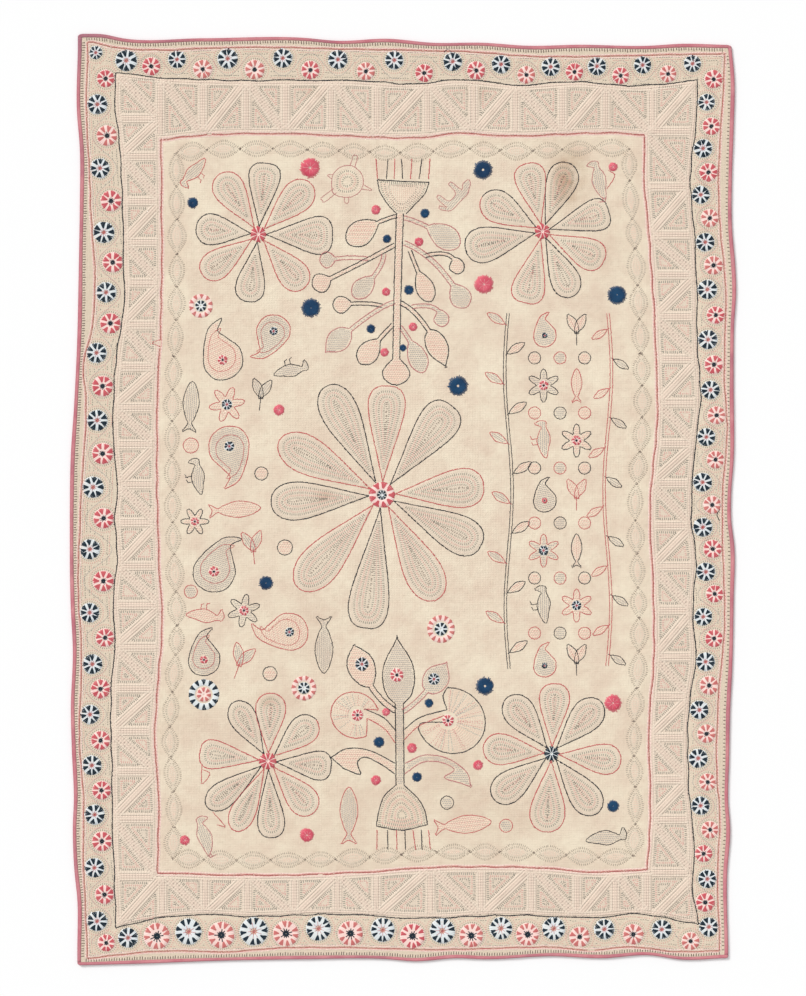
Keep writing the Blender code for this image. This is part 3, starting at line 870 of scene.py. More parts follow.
def sew_lines():
    """The long lines that part the borders, with the places where their thread has gone."""
    gone = (
        (-496, 314, 15), (-163, -742, 9), (-387, 728, 7), (374, -900, 8), (457, 186, 9), (455, 60, 7),
        (440, 225, 5), (600, 305, 7),
    )
    seam = wavered(ring(SEAM), 0.7)
    line_stitch("border_red", seam, True, width=1.5, skip=gone)
    line_stitch("border_pink", seam, True, width=1.2, pitch=6.2, shift=1.9)
    inner = wavered(ring(INNER), 1.1)
    line_stitch("border_red", inner, True, width=1.75, shift=0.6, skip=gone)
    line_stitch("border_pink", inner, True, width=1.5, pitch=6.2, shift=-1.3)
    for line in (seam, inner):
        for shift in (-3.2, 3.4):
            line_stitch("border_pale", line, True, width=1.7, pitch=6.2, shift=shift)
    outer = wavered(ring(OUTER), 1.5)
    line_stitch("dark_lines", outer, True, width=2.2, pitch=4.6)


def wavered(path, amount):
    """A long line with the small waver of a hand that sews along a drawn one."""
    so_far = np.arange(len(path)) * 4.0
    sway = np.sin(so_far / 13.0 + 2.0 * np.sin(so_far / 61.0)) + 0.6 * np.sin(so_far / 29.0)
    return path + across(units(np.gradient(path, axis=0))) * (0.6 * amount * sway)[:, None]


# Hem stitches: how far apart they are, and the shortest and the longest
HEM_RIGHT = (7.5, 3.6, 5.4)
HEM_ELSEWHERE = (5.1, 4.8, 7.2)


def sew_hem():
    """Small dark stitches that hold the binding, all round its inner edge, with pale ones between them."""
    for side in SIDES:
        start, end = reach_of(EDGE, side, 14.0)
        pitch, shortest, longest = HEM_RIGHT if side == "right" else HEM_ELSEWHERE
        along = np.arange(min(start, end) + 4.0, max(start, end) - 2.0, pitch)
        along = along + rng.normal(0.0, 0.35, len(along))
        foot = inset(EDGE, side, along) + reach(side, along)
        long = rng.uniform(shortest, longest, len(along))
        starts, ends = place(side, along, foot + 0.3), place(side, along + 0.3, foot + 0.3 + long)
        lay("hem_stitches", starts, ends, 1.7, 0.5)
        pale = along + pitch / 2
        lay("fill_pale_pink", place(side, pale, foot + 1.0), place(side, pale, foot + 5.0), 1.6, LOW_RISE)


def reach(side, along):
    """How far a folded strip reaches in over the ground."""
    return STRIP_REACH[side] + STRIP_WAVER * np.sin(along / STRIP_WAVE + 2.0 * SIDES.index(side))


def wheel_places():
    """Every border wheel as (x, y, radius, colour, side), where a corner wheel has no side."""
    places = [(*wheel_row, None) for wheel_row in CORNER_WHEELS]
    for side, rows in WHEELS.items():
        numbers, along, radii = np.array(rows, float).T
        for k in range(int(numbers[-1]) + 1):
            at = float(np.interp(k, numbers, along)) + rng.uniform(-1.5, 1.5)
            radius = float(np.interp(k, numbers, radii)) * rng.uniform(0.95, 1.05)
            seam, outer = float(inset(SEAM, side, at)), float(inset(OUTER, side, at))
            radius = min(radius, (outer - seam) / 2 - 2.0)
            if side == "bottom":
                swing = (2.5 + 0.3 * k) * (-1 if k % 2 else 1)
                depth = np.clip((seam + outer) / 2 + swing, seam + radius + 1.5, outer - radius - 1.5)
            else:
                depth = outer - radius - 2.5 if k % 2 else seam + radius + 2.0
            red_first = side == "right" and k < RIGHT_SWAP
            colour = "red" if (k % 2 == 0) == red_first else "blue"
            x, y = place(side, at, depth)
            places.append((float(x), float(y), radius, colour, side))
    return places


def sew_wheels(wheels):
    """Each border wheel, some red ones in a dusty red, with two rings of small stitches round it."""
    for x, y, radius, colour, side in wheels:
        if colour == "red" and rng.random() < DUSTY_SHARE.get(side, 0.2):
            colour = "dusty"
        wheel((x, y), radius, colour, 10 if side == "bottom" and radius > 21 else 8)
        for off, piece in ((3.6, "band_grey"), (8.4, "band_pink")):
            turn = np.linspace(0.0, 2 * np.pi, round((radius + off) * 1.45), endpoint=False)
            round_it = np.array([x, y]) + (radius + off) * around(turn)
            round_it = round_it[between(round_it, SEAM, OUTER, 2.5)]
            if len(round_it) > 5:
                out = (round_it - (x, y)) / (radius + off)
                lay(piece, round_it - out * 1.6, round_it + out * 1.6, 1.2, LOW_RISE)


# The rows of stitches behind the wheels, by turns
BAND_ROWS = ("band_grey", "band_pink", "band_grey", "band_pale")


def sew_wheel_band(wheels):
    """The vine that winds between the wheels, and the rows of small stitches behind them."""
    skip = [(x, y, radius + 12.5) for x, y, radius, *_ in wheels]
    for side in SIDES:
        own = [row for row in wheels if row[4] == side]
        numbers = np.linspace(-0.9, len(own) - 0.1, 12 * len(own))
        along = np.interp(numbers, range(len(own)), [along_of(side, row[:2]) for row in own])
        seam, outer = inset(SEAM, side, along), inset(OUTER, side, along)
        swing = 0.5 + 0.36 * np.cos(np.pi * numbers)
        path = place(side, along, seam + (outer - seam) * swing)
        run_stitch("vine", path, pitch=3.8, length=3.2, width=1.5, skip=[(x, y, r - 8) for x, y, r in skip])
        start, end = reach_of(SEAM, side, 4.0)
        for row, depth in enumerate(np.arange(4.2, 62.0, 4.3)):
            path = run(SEAM, side, start, end, 8.0, depth)
            points, ways = spread(path, 4.7)
            own_row = gap_to(SEAM, *points.T) > depth - 0.6
            keep = between(points, SEAM, OUTER, 3.5) & own_row & kept_out(points, skip)
            points = points[keep] + ways[keep] * (row % 2) * 2.3 + jitter(int(keep.sum()), 0.4)
            half = ways[keep] * 1.45
            lay(BAND_ROWS[row % len(BAND_ROWS)], points - half, points + half, 1.4, LOW_RISE)


# The padded stitches of the bars. The rows inside the triangles: how far in, the piece, a stitch's length
RIB_LONG = 6.2
RIB_RISE = 0.24
ZIGZAG_ROWS = (
    (13.4, "zigzag_grey", 4.9),
    (18.6, "zigzag_pink", 4.0),
    (23.8, "zigzag_grey", 4.0),
    (29.0, "zigzag_pink", 3.6),
)


def sew_zigzag(crosses, slants, triangles):
    """The zigzag's bars, padded rows along its two lines, and rows of ticks inside its triangles."""
    for bars, short, gap in ((crosses, 5, 2.4), (slants, 9, 2.7)):
        for start, end in bars:
            way = unit(end - start)
            ribs(start + way * short, end - way * short, (-3 * gap, -gap, gap, 3 * gap))
    for line, sign in ((OUTER, 1), (INNER, -1)):
        for off, piece in ((4.8, "bars_peach"), (9.8, "bars_pale_pink")):
            run_stitch(piece, ring(line, 8.0, sign * off), True, 5.6, RIB_LONG, 3.8, RIB_RISE)
    for corners in triangles:
        for distance, piece, long in ZIGZAG_ROWS:
            drawn_in = shrunk(corners, distance)
            if drawn_in is not None:
                tick_stitch(piece, drawn_in, True, pitch=3.9, length=long, loose=0.35)


def ribs(start, end, offsets):
    """Side by side padded ridges that make one bar, the two inner ones of peach thread."""
    way = unit(end - start)
    for off in offsets:
        points = spread(np.array([start, end]) + across(way) * off, 5.6)[0]
        points = points[between(points, OUTER, INNER, 4.5)]
        piece = "bars_pale_pink" if abs(off) > 5.0 else "bars_peach"
        lay(piece, points - way * RIB_LONG / 2, points + way * RIB_LONG / 2, 4.3, RIB_RISE)


def shrunk(corners, distance):
    """A triangle drawn in on all sides by a distance, or None where nothing is left of it."""
    a, b, c = corners
    sides = [np.hypot(*(c - b)), np.hypot(*(a - c)), np.hypot(*(b - a))]
    area = abs((b[0] - a[0]) * (c[1] - a[1]) - (c[0] - a[0]) * (b[1] - a[1])) / 2
    inner = 2 * area / sum(sides)
    centre = (sides[0] * a + sides[1] * b + sides[2] * c) / sum(sides)
    share = 1.0 - distance / inner
    if share < 0.08:
        return None
    return centre + (np.array(corners) - centre) * share


def sew_chain(leaves):
    """Leaves end to end inside the inner line: rows of short stitches round each and down its middle."""
    for side, low, high, half in leaves:
        share = np.linspace(0.0, 1.0, 26)
        along = low + (high - low) * share
        middle = inset(INNER, side, along) + CHAIN_INSET
        for inner, piece, long in CHAIN_ROWS:
            wide = np.maximum(half * np.sin(np.pi * share) - inner, 0.0)
            keep = wide > 0.6 if inner else share > -1
            for sign in (1, -1):
                side_path = place(side, along, middle + sign * wide)[keep]
                if len(side_path) > 3:
                    tick_stitch(piece, side_path, pitch=3.9, length=long, loose=0.3)
        tick_stitch("chain_pink", place(side, along, middle)[6:-6], length=3.0, width=1.2)
        knot = place(side, low, float(inset(INNER, side, low)) + CHAIN_INSET)
        lay("chain_knots", knot + jitter(3, 1.8) - (1.8, 0.3), knot + jitter(3, 1.8) + (1.8, 0.3), 1.1, 0.5)


def sew_flowers():
    """The big flowers: petals outlined in one or two threads, their echo rows, two knots and the hub."""
    for centre, hub, hub_colour, petals in FLOWERS:
        for petal in petals:
            direction, length, width, _, lines = petal
            outline = petal_path(centre, hub, petal, 0.0)
            left_line, right_line = (lines.split() * 2)[:2]
            line_stitch(f"{left_line}_lines", outline[:len(outline) // 2 + 1])
            line_stitch(f"{right_line}_lines", outline[len(outline) // 2:])
            for distance, shade, long in ECHOES:
                if width / 2 - distance >= 3.0:
                    tick_stitch(f"echo_{shade}", petal_path(centre, hub, petal, distance), length=long)
            ends = hub + np.array([0.42, 0.84]) * (length - hub)
            tick_stitch("echo_brown", centre + np.outer(ends, toward(direction)), length=3.8, loose=0.7)
        sew_hub(centre, hub, hub_colour)


def sew_hub(centre, hub, colour):
    """A flower's hub: a small wheel, or for the large flower a ring of wedges round one."""
    eight = 0.785 * np.arange(8)
    pale, wedge = ("pale_pink", "red") if colour == "red" else ("pale_blue", "dark")
    if hub < LARGE_HUB:
        threads_round(f"wheels_{pale}", centre, 0.5, hub, 0.0, 22, 2.4, 0.8)
        wedge_ring(f"wheels_{wedge}", centre, 2.0, hub + 1, eight, 0.27, 5, 2.0, 1.1, 0.3, 1.0)
        return
    step = 2 * np.pi / 9
    threads_round(f"wheels_{pale}", centre, 9.0, hub, 0.0, 48, 3.2, 0.6)
    wedge_ring(f"wheels_{wedge}", centre, 12.0, hub, step * np.arange(9), 0.36 * step, 7, 2.4, 0.9, 0.25)
    threads_round("wheels_pale_blue", centre, 0.5, 9.5, 0.0, 18, 2.2, 0.8)
    wedge_ring("wheels_dark", centre, 2.2, 9.5, eight, 0.25, 4, 1.8, 1.1, 0.3)


def fringe(base_y, tip_y, columns):
    """Strokes beyond a pot's rim, red and dark by turns: each has an x at the rim and one at its tip."""
    for k, (base_x, tip_x) in enumerate(columns):
        stroke = np.array([(base_x, base_y), (tip_x, tip_y)], float)
        line_stitch("dark_lines" if k % 2 else "red_lines", stroke)


def pot_outline(*sides):
    """A dark outline made of soft curves end to end."""
    path = np.vstack([curve(points) for points in sides])
    line_stitch("dark_lines", path)
    return path


# Sprigs of the two plants: root, bend, tip, stem half width, bud length, bud half width, pointedness,
# outline colour, filling
TOP_SPRIGS = (
    ((-12, 567), (-62, 555), (-110, 512), 3.5, 74, 25, 0.0, "dark", "pink"),
    ((2, 563), (46, 553), (112, 506), 4.0, 76, 24, 0.0, "mauve", "grey"),
    ((-16, 509), (-76, 475), (-180, 425), 4.0, 40, 19, 0.0, "dark", "pink"),
    ((-70, 481), (-106, 487), (-166, 477), 3.6, 32, 16, 0.0, "mauve", "grey"),
    ((-38, 491), (-40, 455), (-100, 406), 4.0, 58, 19, 0.0, "mauve", "grey"),
    ((2, 513), (74, 485), (126, 384), 4.5, 54, 21, 0.0, "mauve", "grey"),
    ((14, 497), (26, 463), (56, 396), 3.5, 66, 18, 0.0, "dark", "pink"),
    ((44, 487), (112, 505), (108, 451), 3.5, 34, 15, 0.0, "dark", "pink"),
    ((-42, 387), (-76, 397), (-140, 387), 3.4, 38, 17, 0.0, "dark", "pink"),
    ((-16, 395), (-66, 379), (-156, 294), 4.0, 66, 22, 0.8, "mauve", "grey"),
    ((-20, 349), (-46, 325), (-86, 272), 4.0, 62, 21, 0.0, "dark", "pink"),
    ((-4, 393), (48, 367), (86, 264), 4.0, 80, 21, 0.9, "dark", "pink"),
    ((18, 385), (84, 397), (76, 346), 3.8, 34, 15, 0.0, "mauve", "grey"),
    ((-6, 345), (18, 319), (40, 254), 4.0, 70, 19, 0.0, "mauve", "grey"),
    ((-6, 571), (-12, 419), (-14, 229), 7.0, 54, 27, 0.0, "dark", "pink"),
)
LOW_SPRIGS = (
    ((-15, -422), (-70, -392), (-98, -291), 5.0, 90, 27, 0.5, "dark", "pink"),
    ((0, -424), (44, -398), (88, -325), 4.5, 72, 25, 0.8, "mauve", "grey"),
    ((-6, -571), (-6, -400), (-12, -272), 8.0, 134, 32, 1.0, "dark", "grey"),
)
# The low plant's two round leaves: middle, radius, first and last direction of the rim. Then two points
# each, the lower one first: where the rim ends inside, where it bends on its way there, and the roots and
# the ends of the stalk's lines. Then the colour of the rim and those of the stalk's upper and lower line
FAN_LEAVES = (
    (
        (-96, -431), 47, (-62, -340), ((-72, -438), (-78, -419)), ((-72, -456), (-52, -420)),
        ((-16, -486), (-14, -463)), ((-71, -437), (-77, -418)), "red", "dark red",
    ),
    (
        (96, -442), 67, (-168, 96), ((84, -445), (88, -420)), ((40, -446), (80, -393)),
        ((3, -479), (3, -459)), ((82, -432), (88, -420)), "dark", "dark red",
    ),
)


def sew_top_plant():
    """The plant above the middle, that hangs from a bowl."""
    for row in TOP_SPRIGS:
        sprig(*row)
    rim, left, right, foot = (-51, 639), (52, 634), (6, 571), (-12, 571)
    bowl = pot_outline(
        (foot, (-28, 587), (-46, 615), rim), (rim, (0, 636), left), (left, (44, 612), (28, 594), right)
    )
    fill("fill_peach", bowl, margin=6.0, upright=True)
    middle = bowl.mean(0) + (0, 4)
    for share in (0.88, 0.72, 0.56):
        tick_stitch("echo_grey", middle + (bowl - middle) * share, True)
    fringe(641, 681, ((-51, -54), (-33, -30), (-18, -16), (-1, -3), (15, 18), (32, 38), (51, 54)))


def sew_low_plant():
    """The plant below the middle: a pot, a tall leaf, buds, round leaves, long leaves and wheels."""
    for row in LOW_SPRIGS:
        skip = [(-12, -351, 14)] if row[5] > 30 else ()
        sprig(*row, skip=skip)
    neck_left, neck_right, foot_left, foot_right = (-14, -571), (2, -571), (-53, -653), (49, -650)
    pot = pot_outline(
        (neck_left, (-37, -592), (-48, -622), foot_left),
        (foot_left, (-2, -661), foot_right),
        (foot_right, (43, -621), (29, -597), neck_right),
    )
    middle = np.array([-2.0, -632.0])
    for k in range(7):
        share = 0.9 - 0.12 * k
        tick_stitch("echo_pink" if k % 2 else "echo_grey", middle + (pot - middle) * share, True)
    fringe(-661, -700, ((-52, -52), (-31, -30), (-13, -12), (4, 5), (20, 25), (37, 38), (51, 55)))
    for leaf in FAN_LEAVES:
        fan_leaf(*leaf)
    upper = curve([(-16, -527), (-66, -502), (-112, -498), (-144, -516)])
    lower = curve([(-118, -538), (-86, -549), (-91, -526), (-76, -515), (-46, -528), (-16, -549)])
    outlined(np.vstack([upper, lower]), "dark", "pink", closed=False)
    upper = curve([(4, -527), (44, -511), (90, -518), (127, -545), (136, -574)])
    lower = curve([(112, -566), (83, -556), (102, -540), (78, -526), (40, -525), (4, -548)])
    outlined(np.vstack([upper, lower]), "mauve", "grey", closed=False)
    wheel((-12, -351), 13, "red")
    wheel((-82, -329), 13, "blue")
    wheel((62, -359), 11, "blue")


def fan_leaf(centre, radius, rim, gate, bends, roots, ends, line, stalk):
    """A round leaf with ribs that spread from a small wheel in its middle, and a stalk of two lines."""
    centre, gate, roots, ends = (np.array(points, float) for points in (centre, gate, roots, ends))
    turn = np.radians(np.linspace(*rim, 60))
    wave = 1.0 + 0.04 * np.cos(2 * turn + 1.0)
    arc = centre + radius * wave[:, None] * around(turn)
    lower, upper = curve([gate[0], bends[0], arc[0]]), curve([arc[-1], bends[1], gate[1]])
    line_stitch(f"{line}_lines", np.vstack([lower, arc[1:-1], upper]))
    hub = centre + (5 if centre[0] < 0 else -6, 0)
    for end in spread(arc, 4.6)[0]:
        way = unit(end - hub)
        shade = ("grey", "peach", "pink", "peach", "peach")[int(rng.integers(5))]
        rib = np.array([hub + way * 18, end - way * 4])
        run_stitch(f"fill_{shade}", rib, pitch=4.6, length=3.2, width=1.5, loose=0.4)
    for at, root, colour in zip(ends, roots, stalk.split()[::-1]):
        line_stitch(f"{colour}_lines", curve([root, root * 0.62 + at * 0.38 + (0, 9), at]))
    fill("fill_peach", np.vstack([curve([roots[0], ends[0]]), curve([ends[1], roots[1]])]), margin=2.0)
    wheel(hub, 11, "red")


# Generic motifs drawn at size one about their middle
PAISLEY = (
    (0.02, -0.5), (0.27, -0.38), (0.35, -0.1), (0.22, 0.16), (0.13, 0.34), (0.27, 0.5), (0.02, 0.45),
    (-0.15, 0.26), (-0.28, 0.03), (-0.34, -0.2), (-0.24, -0.42),
)
FISH = (
    (0.5, 0.0), (0.34, 0.11), (0.05, 0.16), (-0.22, 0.09), (-0.34, 0.04), (-0.5, 0.13), (-0.45, 0.0),
    (-0.5, -0.13), (-0.34, -0.04), (-0.22, -0.09), (0.05, -0.16), (0.34, -0.11),
)
BIRD = (
    (-0.5, -0.02), (-0.3, 0.11), (0.0, 0.2), (0.26, 0.13), (0.4, 0.08), (0.5, 0.26), (0.6, 0.1),
    (0.56, -0.06), (0.4, -0.08), (0.1, -0.2), (-0.25, -0.15), (-0.5, -0.1),
)
BIRD_LEGS = {
    "belly": (((0.05, 0.18), (0.03, 0.36), (0.12, 0.4)), ((-0.12, 0.16), (-0.14, 0.32), (-0.05, 0.36))),
    "tail": (((-0.48, -0.1), (-0.6, -0.06), (-0.58, 0.14)), ((-0.48, -0.02), (-0.58, 0.02))),
    "none": (),
}
LEAF_SHAPE = ((-0.5, 0.0), (-0.2, 0.16), (0.12, 0.2), (0.5, 0.0), (0.12, -0.2), (-0.2, -0.16))
CALF = (
    (-0.5, 0.12), (-0.62, -0.12), (-0.54, -0.18), (-0.45, 0.0), (-0.42, -0.38), (-0.3, -0.4),
    (-0.24, -0.06), (0.08, -0.06), (0.14, -0.38), (0.26, -0.38), (0.28, 0.0), (0.46, -0.08),
    (0.66, -0.02), (0.6, 0.1), (0.44, 0.18), (0.3, 0.24), (0.0, 0.22), (-0.34, 0.2),
)


def bird(centre, angle, size, line, shade="grey", flip=False, legs="belly"):
    outline = closed_shape(BIRD, centre, angle, size, flip)
    outlined(outline, line, shade, angle=angle, margin=2.2, width=1.6)
    for leg in BIRD_LEGS[legs]:
        line_stitch(f"{line}_lines", turned(leg, centre, angle, size, flip), width=1.5)


def fish(centre, angle, size, line, shade="grey"):
    outline = closed_shape(FISH, centre, angle, size)
    outlined(outline, line, shade, angle=angle, margin=2.4, width=1.6)


def paisley(centre, angle, size, line, shade):
    """A paisley with a small wheel in its belly, and inside a large one an echo of its outline."""
    path = closed_shape(PAISLEY, centre, angle, size)
    belly = turned([(0.0, -0.16)], centre, angle, size)[0]
    outlined(path, line, shade, margin=3.2, angle=angle, skip=[(*belly, size * 0.1)], width=1.8)
    if size > 90:
        line_stitch("red_lines", closed_shape(PAISLEY, centre, angle, size * 0.7), True, width=1.2)
    wheel(belly, size * 0.08, "red" if line == "dark" else "blue")


# A turtle's limbs: direction, how far they reach out, and half their angle at the shell and at their end
TURTLE_LIMBS = (
    (72, 0.57, 9, 5), (163, 0.43, 8, 3), (-20, 0.53, 9, 2), (-93, 0.46, 8, 5), (217, 0.66, 9, 5),
)


def turtle(centre, size):
    """A small turtle seen from above: a round shell, and a narrow loop each for its head, legs and tail."""
    degrees = np.arange(0, 360, 6.0)
    out = 0.33 * (1.0 + 0.16 * np.exp(-((degrees - 222) / 22) ** 2))
    shell = out[:, None] * around(np.radians(degrees))
    line_stitch("mauve_lines", turned(shell, centre, 0, size), True, width=1.5)
    for share, shade in ((0.84, "peach"), (0.66, "grey"), (0.48, "pink"), (0.3, "grey")):
        tick_stitch(f"echo_{shade}", turned(shell * share, centre, 0, size), True)
    for direction, far, half, narrow in TURTLE_LIMBS:
        loop = ((0.33, -half), (far - 0.03, -narrow), (far, 0), (far - 0.03, narrow), (0.33, half))
        points = [out * toward(direction + turn) for out, turn in loop]
        line_stitch("mauve_lines", turned(curve(points), centre, 0, size), width=1.4)


def sew_animals():
    """Small ordinary animals of the open field."""
    bird((-417, 656), 223, 62, "red")
    bird((392, 636), 101, 70, "mauve", legs="tail")
    bird((-396, -675), 110, 70, "mauve", flip=True, legs="tail")
    bird((404, -676), 2, 72, "dark", legs="none")
    turtle((-111, 636), 96)
    calf = closed_shape(CALF, (105, 606), 50, 64, True, 4)
    outlined(calf, "mauve", "grey", angle=50, margin=1.8, width=1.4)
    fish((-158, -291), -90, 112, "dark")
    fish((-108, -631), 90, 112, "red")


def vine(start, end, sway, leaf_size, count, first):
    """A winding stem with leaves to both sides, in dark and red by turns."""
    start, end = np.array(start, float), np.array(end, float)
    t = np.linspace(0.0, 1.0, 120)[:, None]
    way = unit(end - start)
    aside = across(way)
    middle = start + (end - start) * t + sway * np.sin(3 * np.pi * t) * aside
    for off in (-2.6, 2.6):
        line_stitch(f"{first}_lines", middle + off * aside, width=1.5)
    for k in range(count):
        spot = middle[int((k + 0.6) / count * 119)]
        lean = math.degrees(math.atan2(way[1], way[0])) + (58 if k % 2 else -58)
        out = toward(lean)
        line = ("dark", "red")[(k + (first == "red")) % 2]
        outline = closed_shape(LEAF_SHAPE, spot + out * (leaf_size * 0.5 + 6), lean, leaf_size)
        outlined(outline, line, ("pink", "grey")[k % 2], angle=lean, margin=2.2, width=1.6)
        line_stitch(f"{line}_lines", np.array([spot, spot + out * 6]), width=1.6)


def disc(centre, angle, size, line, shade):
    """A round patch filled with rows at an angle."""
    rim = np.array(centre, float) + size / 2 * around(np.linspace(0.0, 2 * np.pi, 30, endpoint=False))
    outlined(rim, line, shade, margin=2.6, angle=angle, width=1.6)


def star_flower(centre, angle, size, line, shade):
    """A small flower of six round petals about a wheel."""
    turn = np.radians(np.arange(0, 360, 6.0))
    out = 0.36 + 0.14 * np.cos(6 * turn)
    outline = turned(out[:, None] * around(turn), centre, angle, size)
    outlined(outline, line, shade, margin=3.0, skip=[(*centre, size * 0.16)], width=1.6)
    wheel(centre, size * 0.14, "red" if line == "dark" else "blue")


def leaf_pair(centre, angle, size, line, shade):
    """Two leaves that lean apart on one short stalk."""
    for lean in (angle - 29, angle + 29):
        leaf = closed_shape(LEAF_SHAPE, centre + size * 0.22 * toward(lean), lean, size * 0.66)
        outlined(leaf, line, shade, angle=lean, margin=2.4, width=1.6)
    foot = centre - size * 0.45 * toward(angle)
    line_stitch(f"{line}_lines", np.array([centre, foot], float), width=1.6)


# Motifs of the left side field and below the low plant: kind, place, direction, size, line, filling
MOTIFS = (
    ("paisley", (-368, 296), 24, 116, "dark", "pink"),
    ("paisley", (-264, 322), 160, 96, "red", "grey"),
    ("bird", (-226, 258), 8, 62, "dark", "grey"),
    ("fish", (-424, 186), 86, 100, "dark", "grey"),
    ("flower", (-352, 190), 10, 72, "red", "pink"),
    ("leaves", (-284, 208), 84, 66, "dark", "grey"),
    ("disc", (-424, 108), 0, 30, "red", "pink"),
    ("paisley", (-342, 88), 196, 118, "red", "grey"),
    ("disc", (-283, 52), 0, 26, "dark", "pink"),
    ("bird", (-410, 44), 94, 64, "dark", "grey"),
    ("flower", (-416, -44), 0, 56, "dark", "pink"),
    ("fish", (-336, -20), 4, 102, "red", "pink"),
    ("paisley", (-372, -126), -18, 120, "dark", "grey"),
    ("leaves", (-300, -98), 96, 70, "red", "grey"),
    ("disc", (-236, -96), 0, 30, "dark", "pink"),
    ("disc", (-424, -184), 0, 26, "red", "grey"),
    ("bird", (-398, -232), -10, 66, "red", "pink"),
    ("flower", (-318, -222), 20, 66, "dark", "grey"),
    ("paisley", (-244, -268), 100, 108, "red", "pink"),
    ("paisley", (-400, -306), 8, 92, "dark", "grey"),
    ("leaves", (-326, -326), 70, 74, "red", "grey"),
    ("disc", (-266, -348), 0, 28, "dark", "pink"),
    ("fish", (120, -650), 6, 112, "red", "pink"),
    ("disc", (88, -606), 0, 26, "dark", "grey"),
    ("disc", (206, -652), 0, 26, "red", "grey"),
)
MOTIF_MAKERS = {
    "paisley": paisley,
    "bird": bird,
    "fish": fish,
    "flower": star_flower,
    "leaves": leaf_pair,
    "disc": disc,
}


def sew_motifs():
    """The motifs of the left field, and two vines with rows of motifs between them on the right."""
    for kind, *settings in MOTIFS:
        MOTIF_MAKERS[kind](*settings)
    vine((212, -338), (210, 372), 7, 40, 12, "dark")
    vine((410, 372), (408, -332), 7, 34, 12, "red")
    for row, y in enumerate(range(338, -340, -110)):
        line, other = ("dark", "red") if row % 2 else ("red", "dark")
        one, two = (("paisley", "leaves"), ("flower", "fish"), ("bird", "flower"))[row % 3]
        MOTIF_MAKERS[one]((281, y), 12 if one == "paisley" else 90, 66, line, "grey")
        MOTIF_MAKERS[two]((347, y), 90, 66, other, "pink")
        for x, shade, edge in ((263, "pink", other), (314, "grey", line), (363, "pink", other)):
            if y > -300:
                disc((x, y - 55), 0, 24, edge, shade)


def sew_marks():
    """Mends, loose ends and small marks: short runs of odd thread."""
    for points, line in MARKS:
        line_stitch(f"{line}_lines", curve(points), width=1.6)


def add_object(name, data):
    """A new object with its data, linked to the scene."""
    made = bpy.data.objects.new(name, data)
    bpy.context.scene.collection.objects.link(made)
    return made


def mesh_of(name, vertices, triangles):
    """A mesh object from arrays of points in millimetres and of triangles."""
    mesh = bpy.data.meshes.new(name)
    mesh.vertices.add(len(vertices))
    mesh.vertices.foreach_set("co", (vertices * MM).astype(np.float32).ravel())
    mesh.loops.add(triangles.size)
    mesh.loops.foreach_set("vertex_index", triangles.astype(np.int32).ravel())
    mesh.polygons.add(len(triangles))
    mesh.polygons.foreach_set("loop_start", np.arange(0, triangles.size, 3, dtype=np.int32))
    mesh.update(calc_edges=True)
    mesh.validate()
    mesh.shade_smooth()
    return add_object(name, mesh)


# A stitch is a low ridge with sloping ends: left foot, ridge and right foot at its start, then at its end.
# Its feet are sunk into the cloth, and its ridge is shorter at each end by a share of its length
STITCH_FACES = ((0, 2, 1), (3, 4, 5), (0, 1, 4), (0, 4, 3), (1, 2, 5), (1, 5, 4), (0, 3, 5), (0, 5, 2))
SUNK = 0.15
RIDGE_INSET = 0.14


def stitch_mesh(name, rows, ground):
    """All the stitches of a piece as one mesh, lying on the ground's face."""
    start, end, width, rise, flare = rows[:, 0:2], rows[:, 2:4], rows[:, 4], rows[:, 5], rows[:, 6]
    aside = across(units(end - start))
    base = width / 2 * (rise + SUNK) / rise
    points = []
    for foot, ridge, half in ((0.0, RIDGE_INSET, base), (1.0, 1.0 - RIDGE_INSET, base * flare)):
        low, high = start + (end - start) * foot, start + (end - start) * ridge
        left, right = (low + sign * half[:, None] * aside for sign in (1, -1))
        for spot, lift in ((left, -SUNK), (high, rise), (right, -SUNK)):
            points.append(np.column_stack([spot, ground.at(spot) + lift]))
    vertices = np.stack(points, 1).reshape(-1, 3)
    triangles = (np.array(STITCH_FACES)[None] + (np.arange(len(rows)) * 6)[:, None, None]).reshape(-1, 3)
    return mesh_of(name, vertices, triangles)


def quads_to_triangles(a, b, c, d):
    """Two triangles for each square of four corners."""
    a, b, c, d = (corners.ravel() for corners in (a, b, c, d))
    return np.concatenate([np.stack([a, b, c], -1), np.stack([a, c, d], -1)])


def add_layer(mesh, name, values):
    """Values for a mesh's first points that its material reads by name, and nought for the others."""
    full = np.zeros(len(mesh.vertices), np.float32)
    full[:values.size] = values.ravel()
    mesh.attributes.new(name, "FLOAT", "POINT").data.foreach_set("value", full)


# How softly the colours of two zones meet, and how far in from the edge the cloth is soiled
ZONE_SOFT = 6.0
GRIME_REACH = 60.0


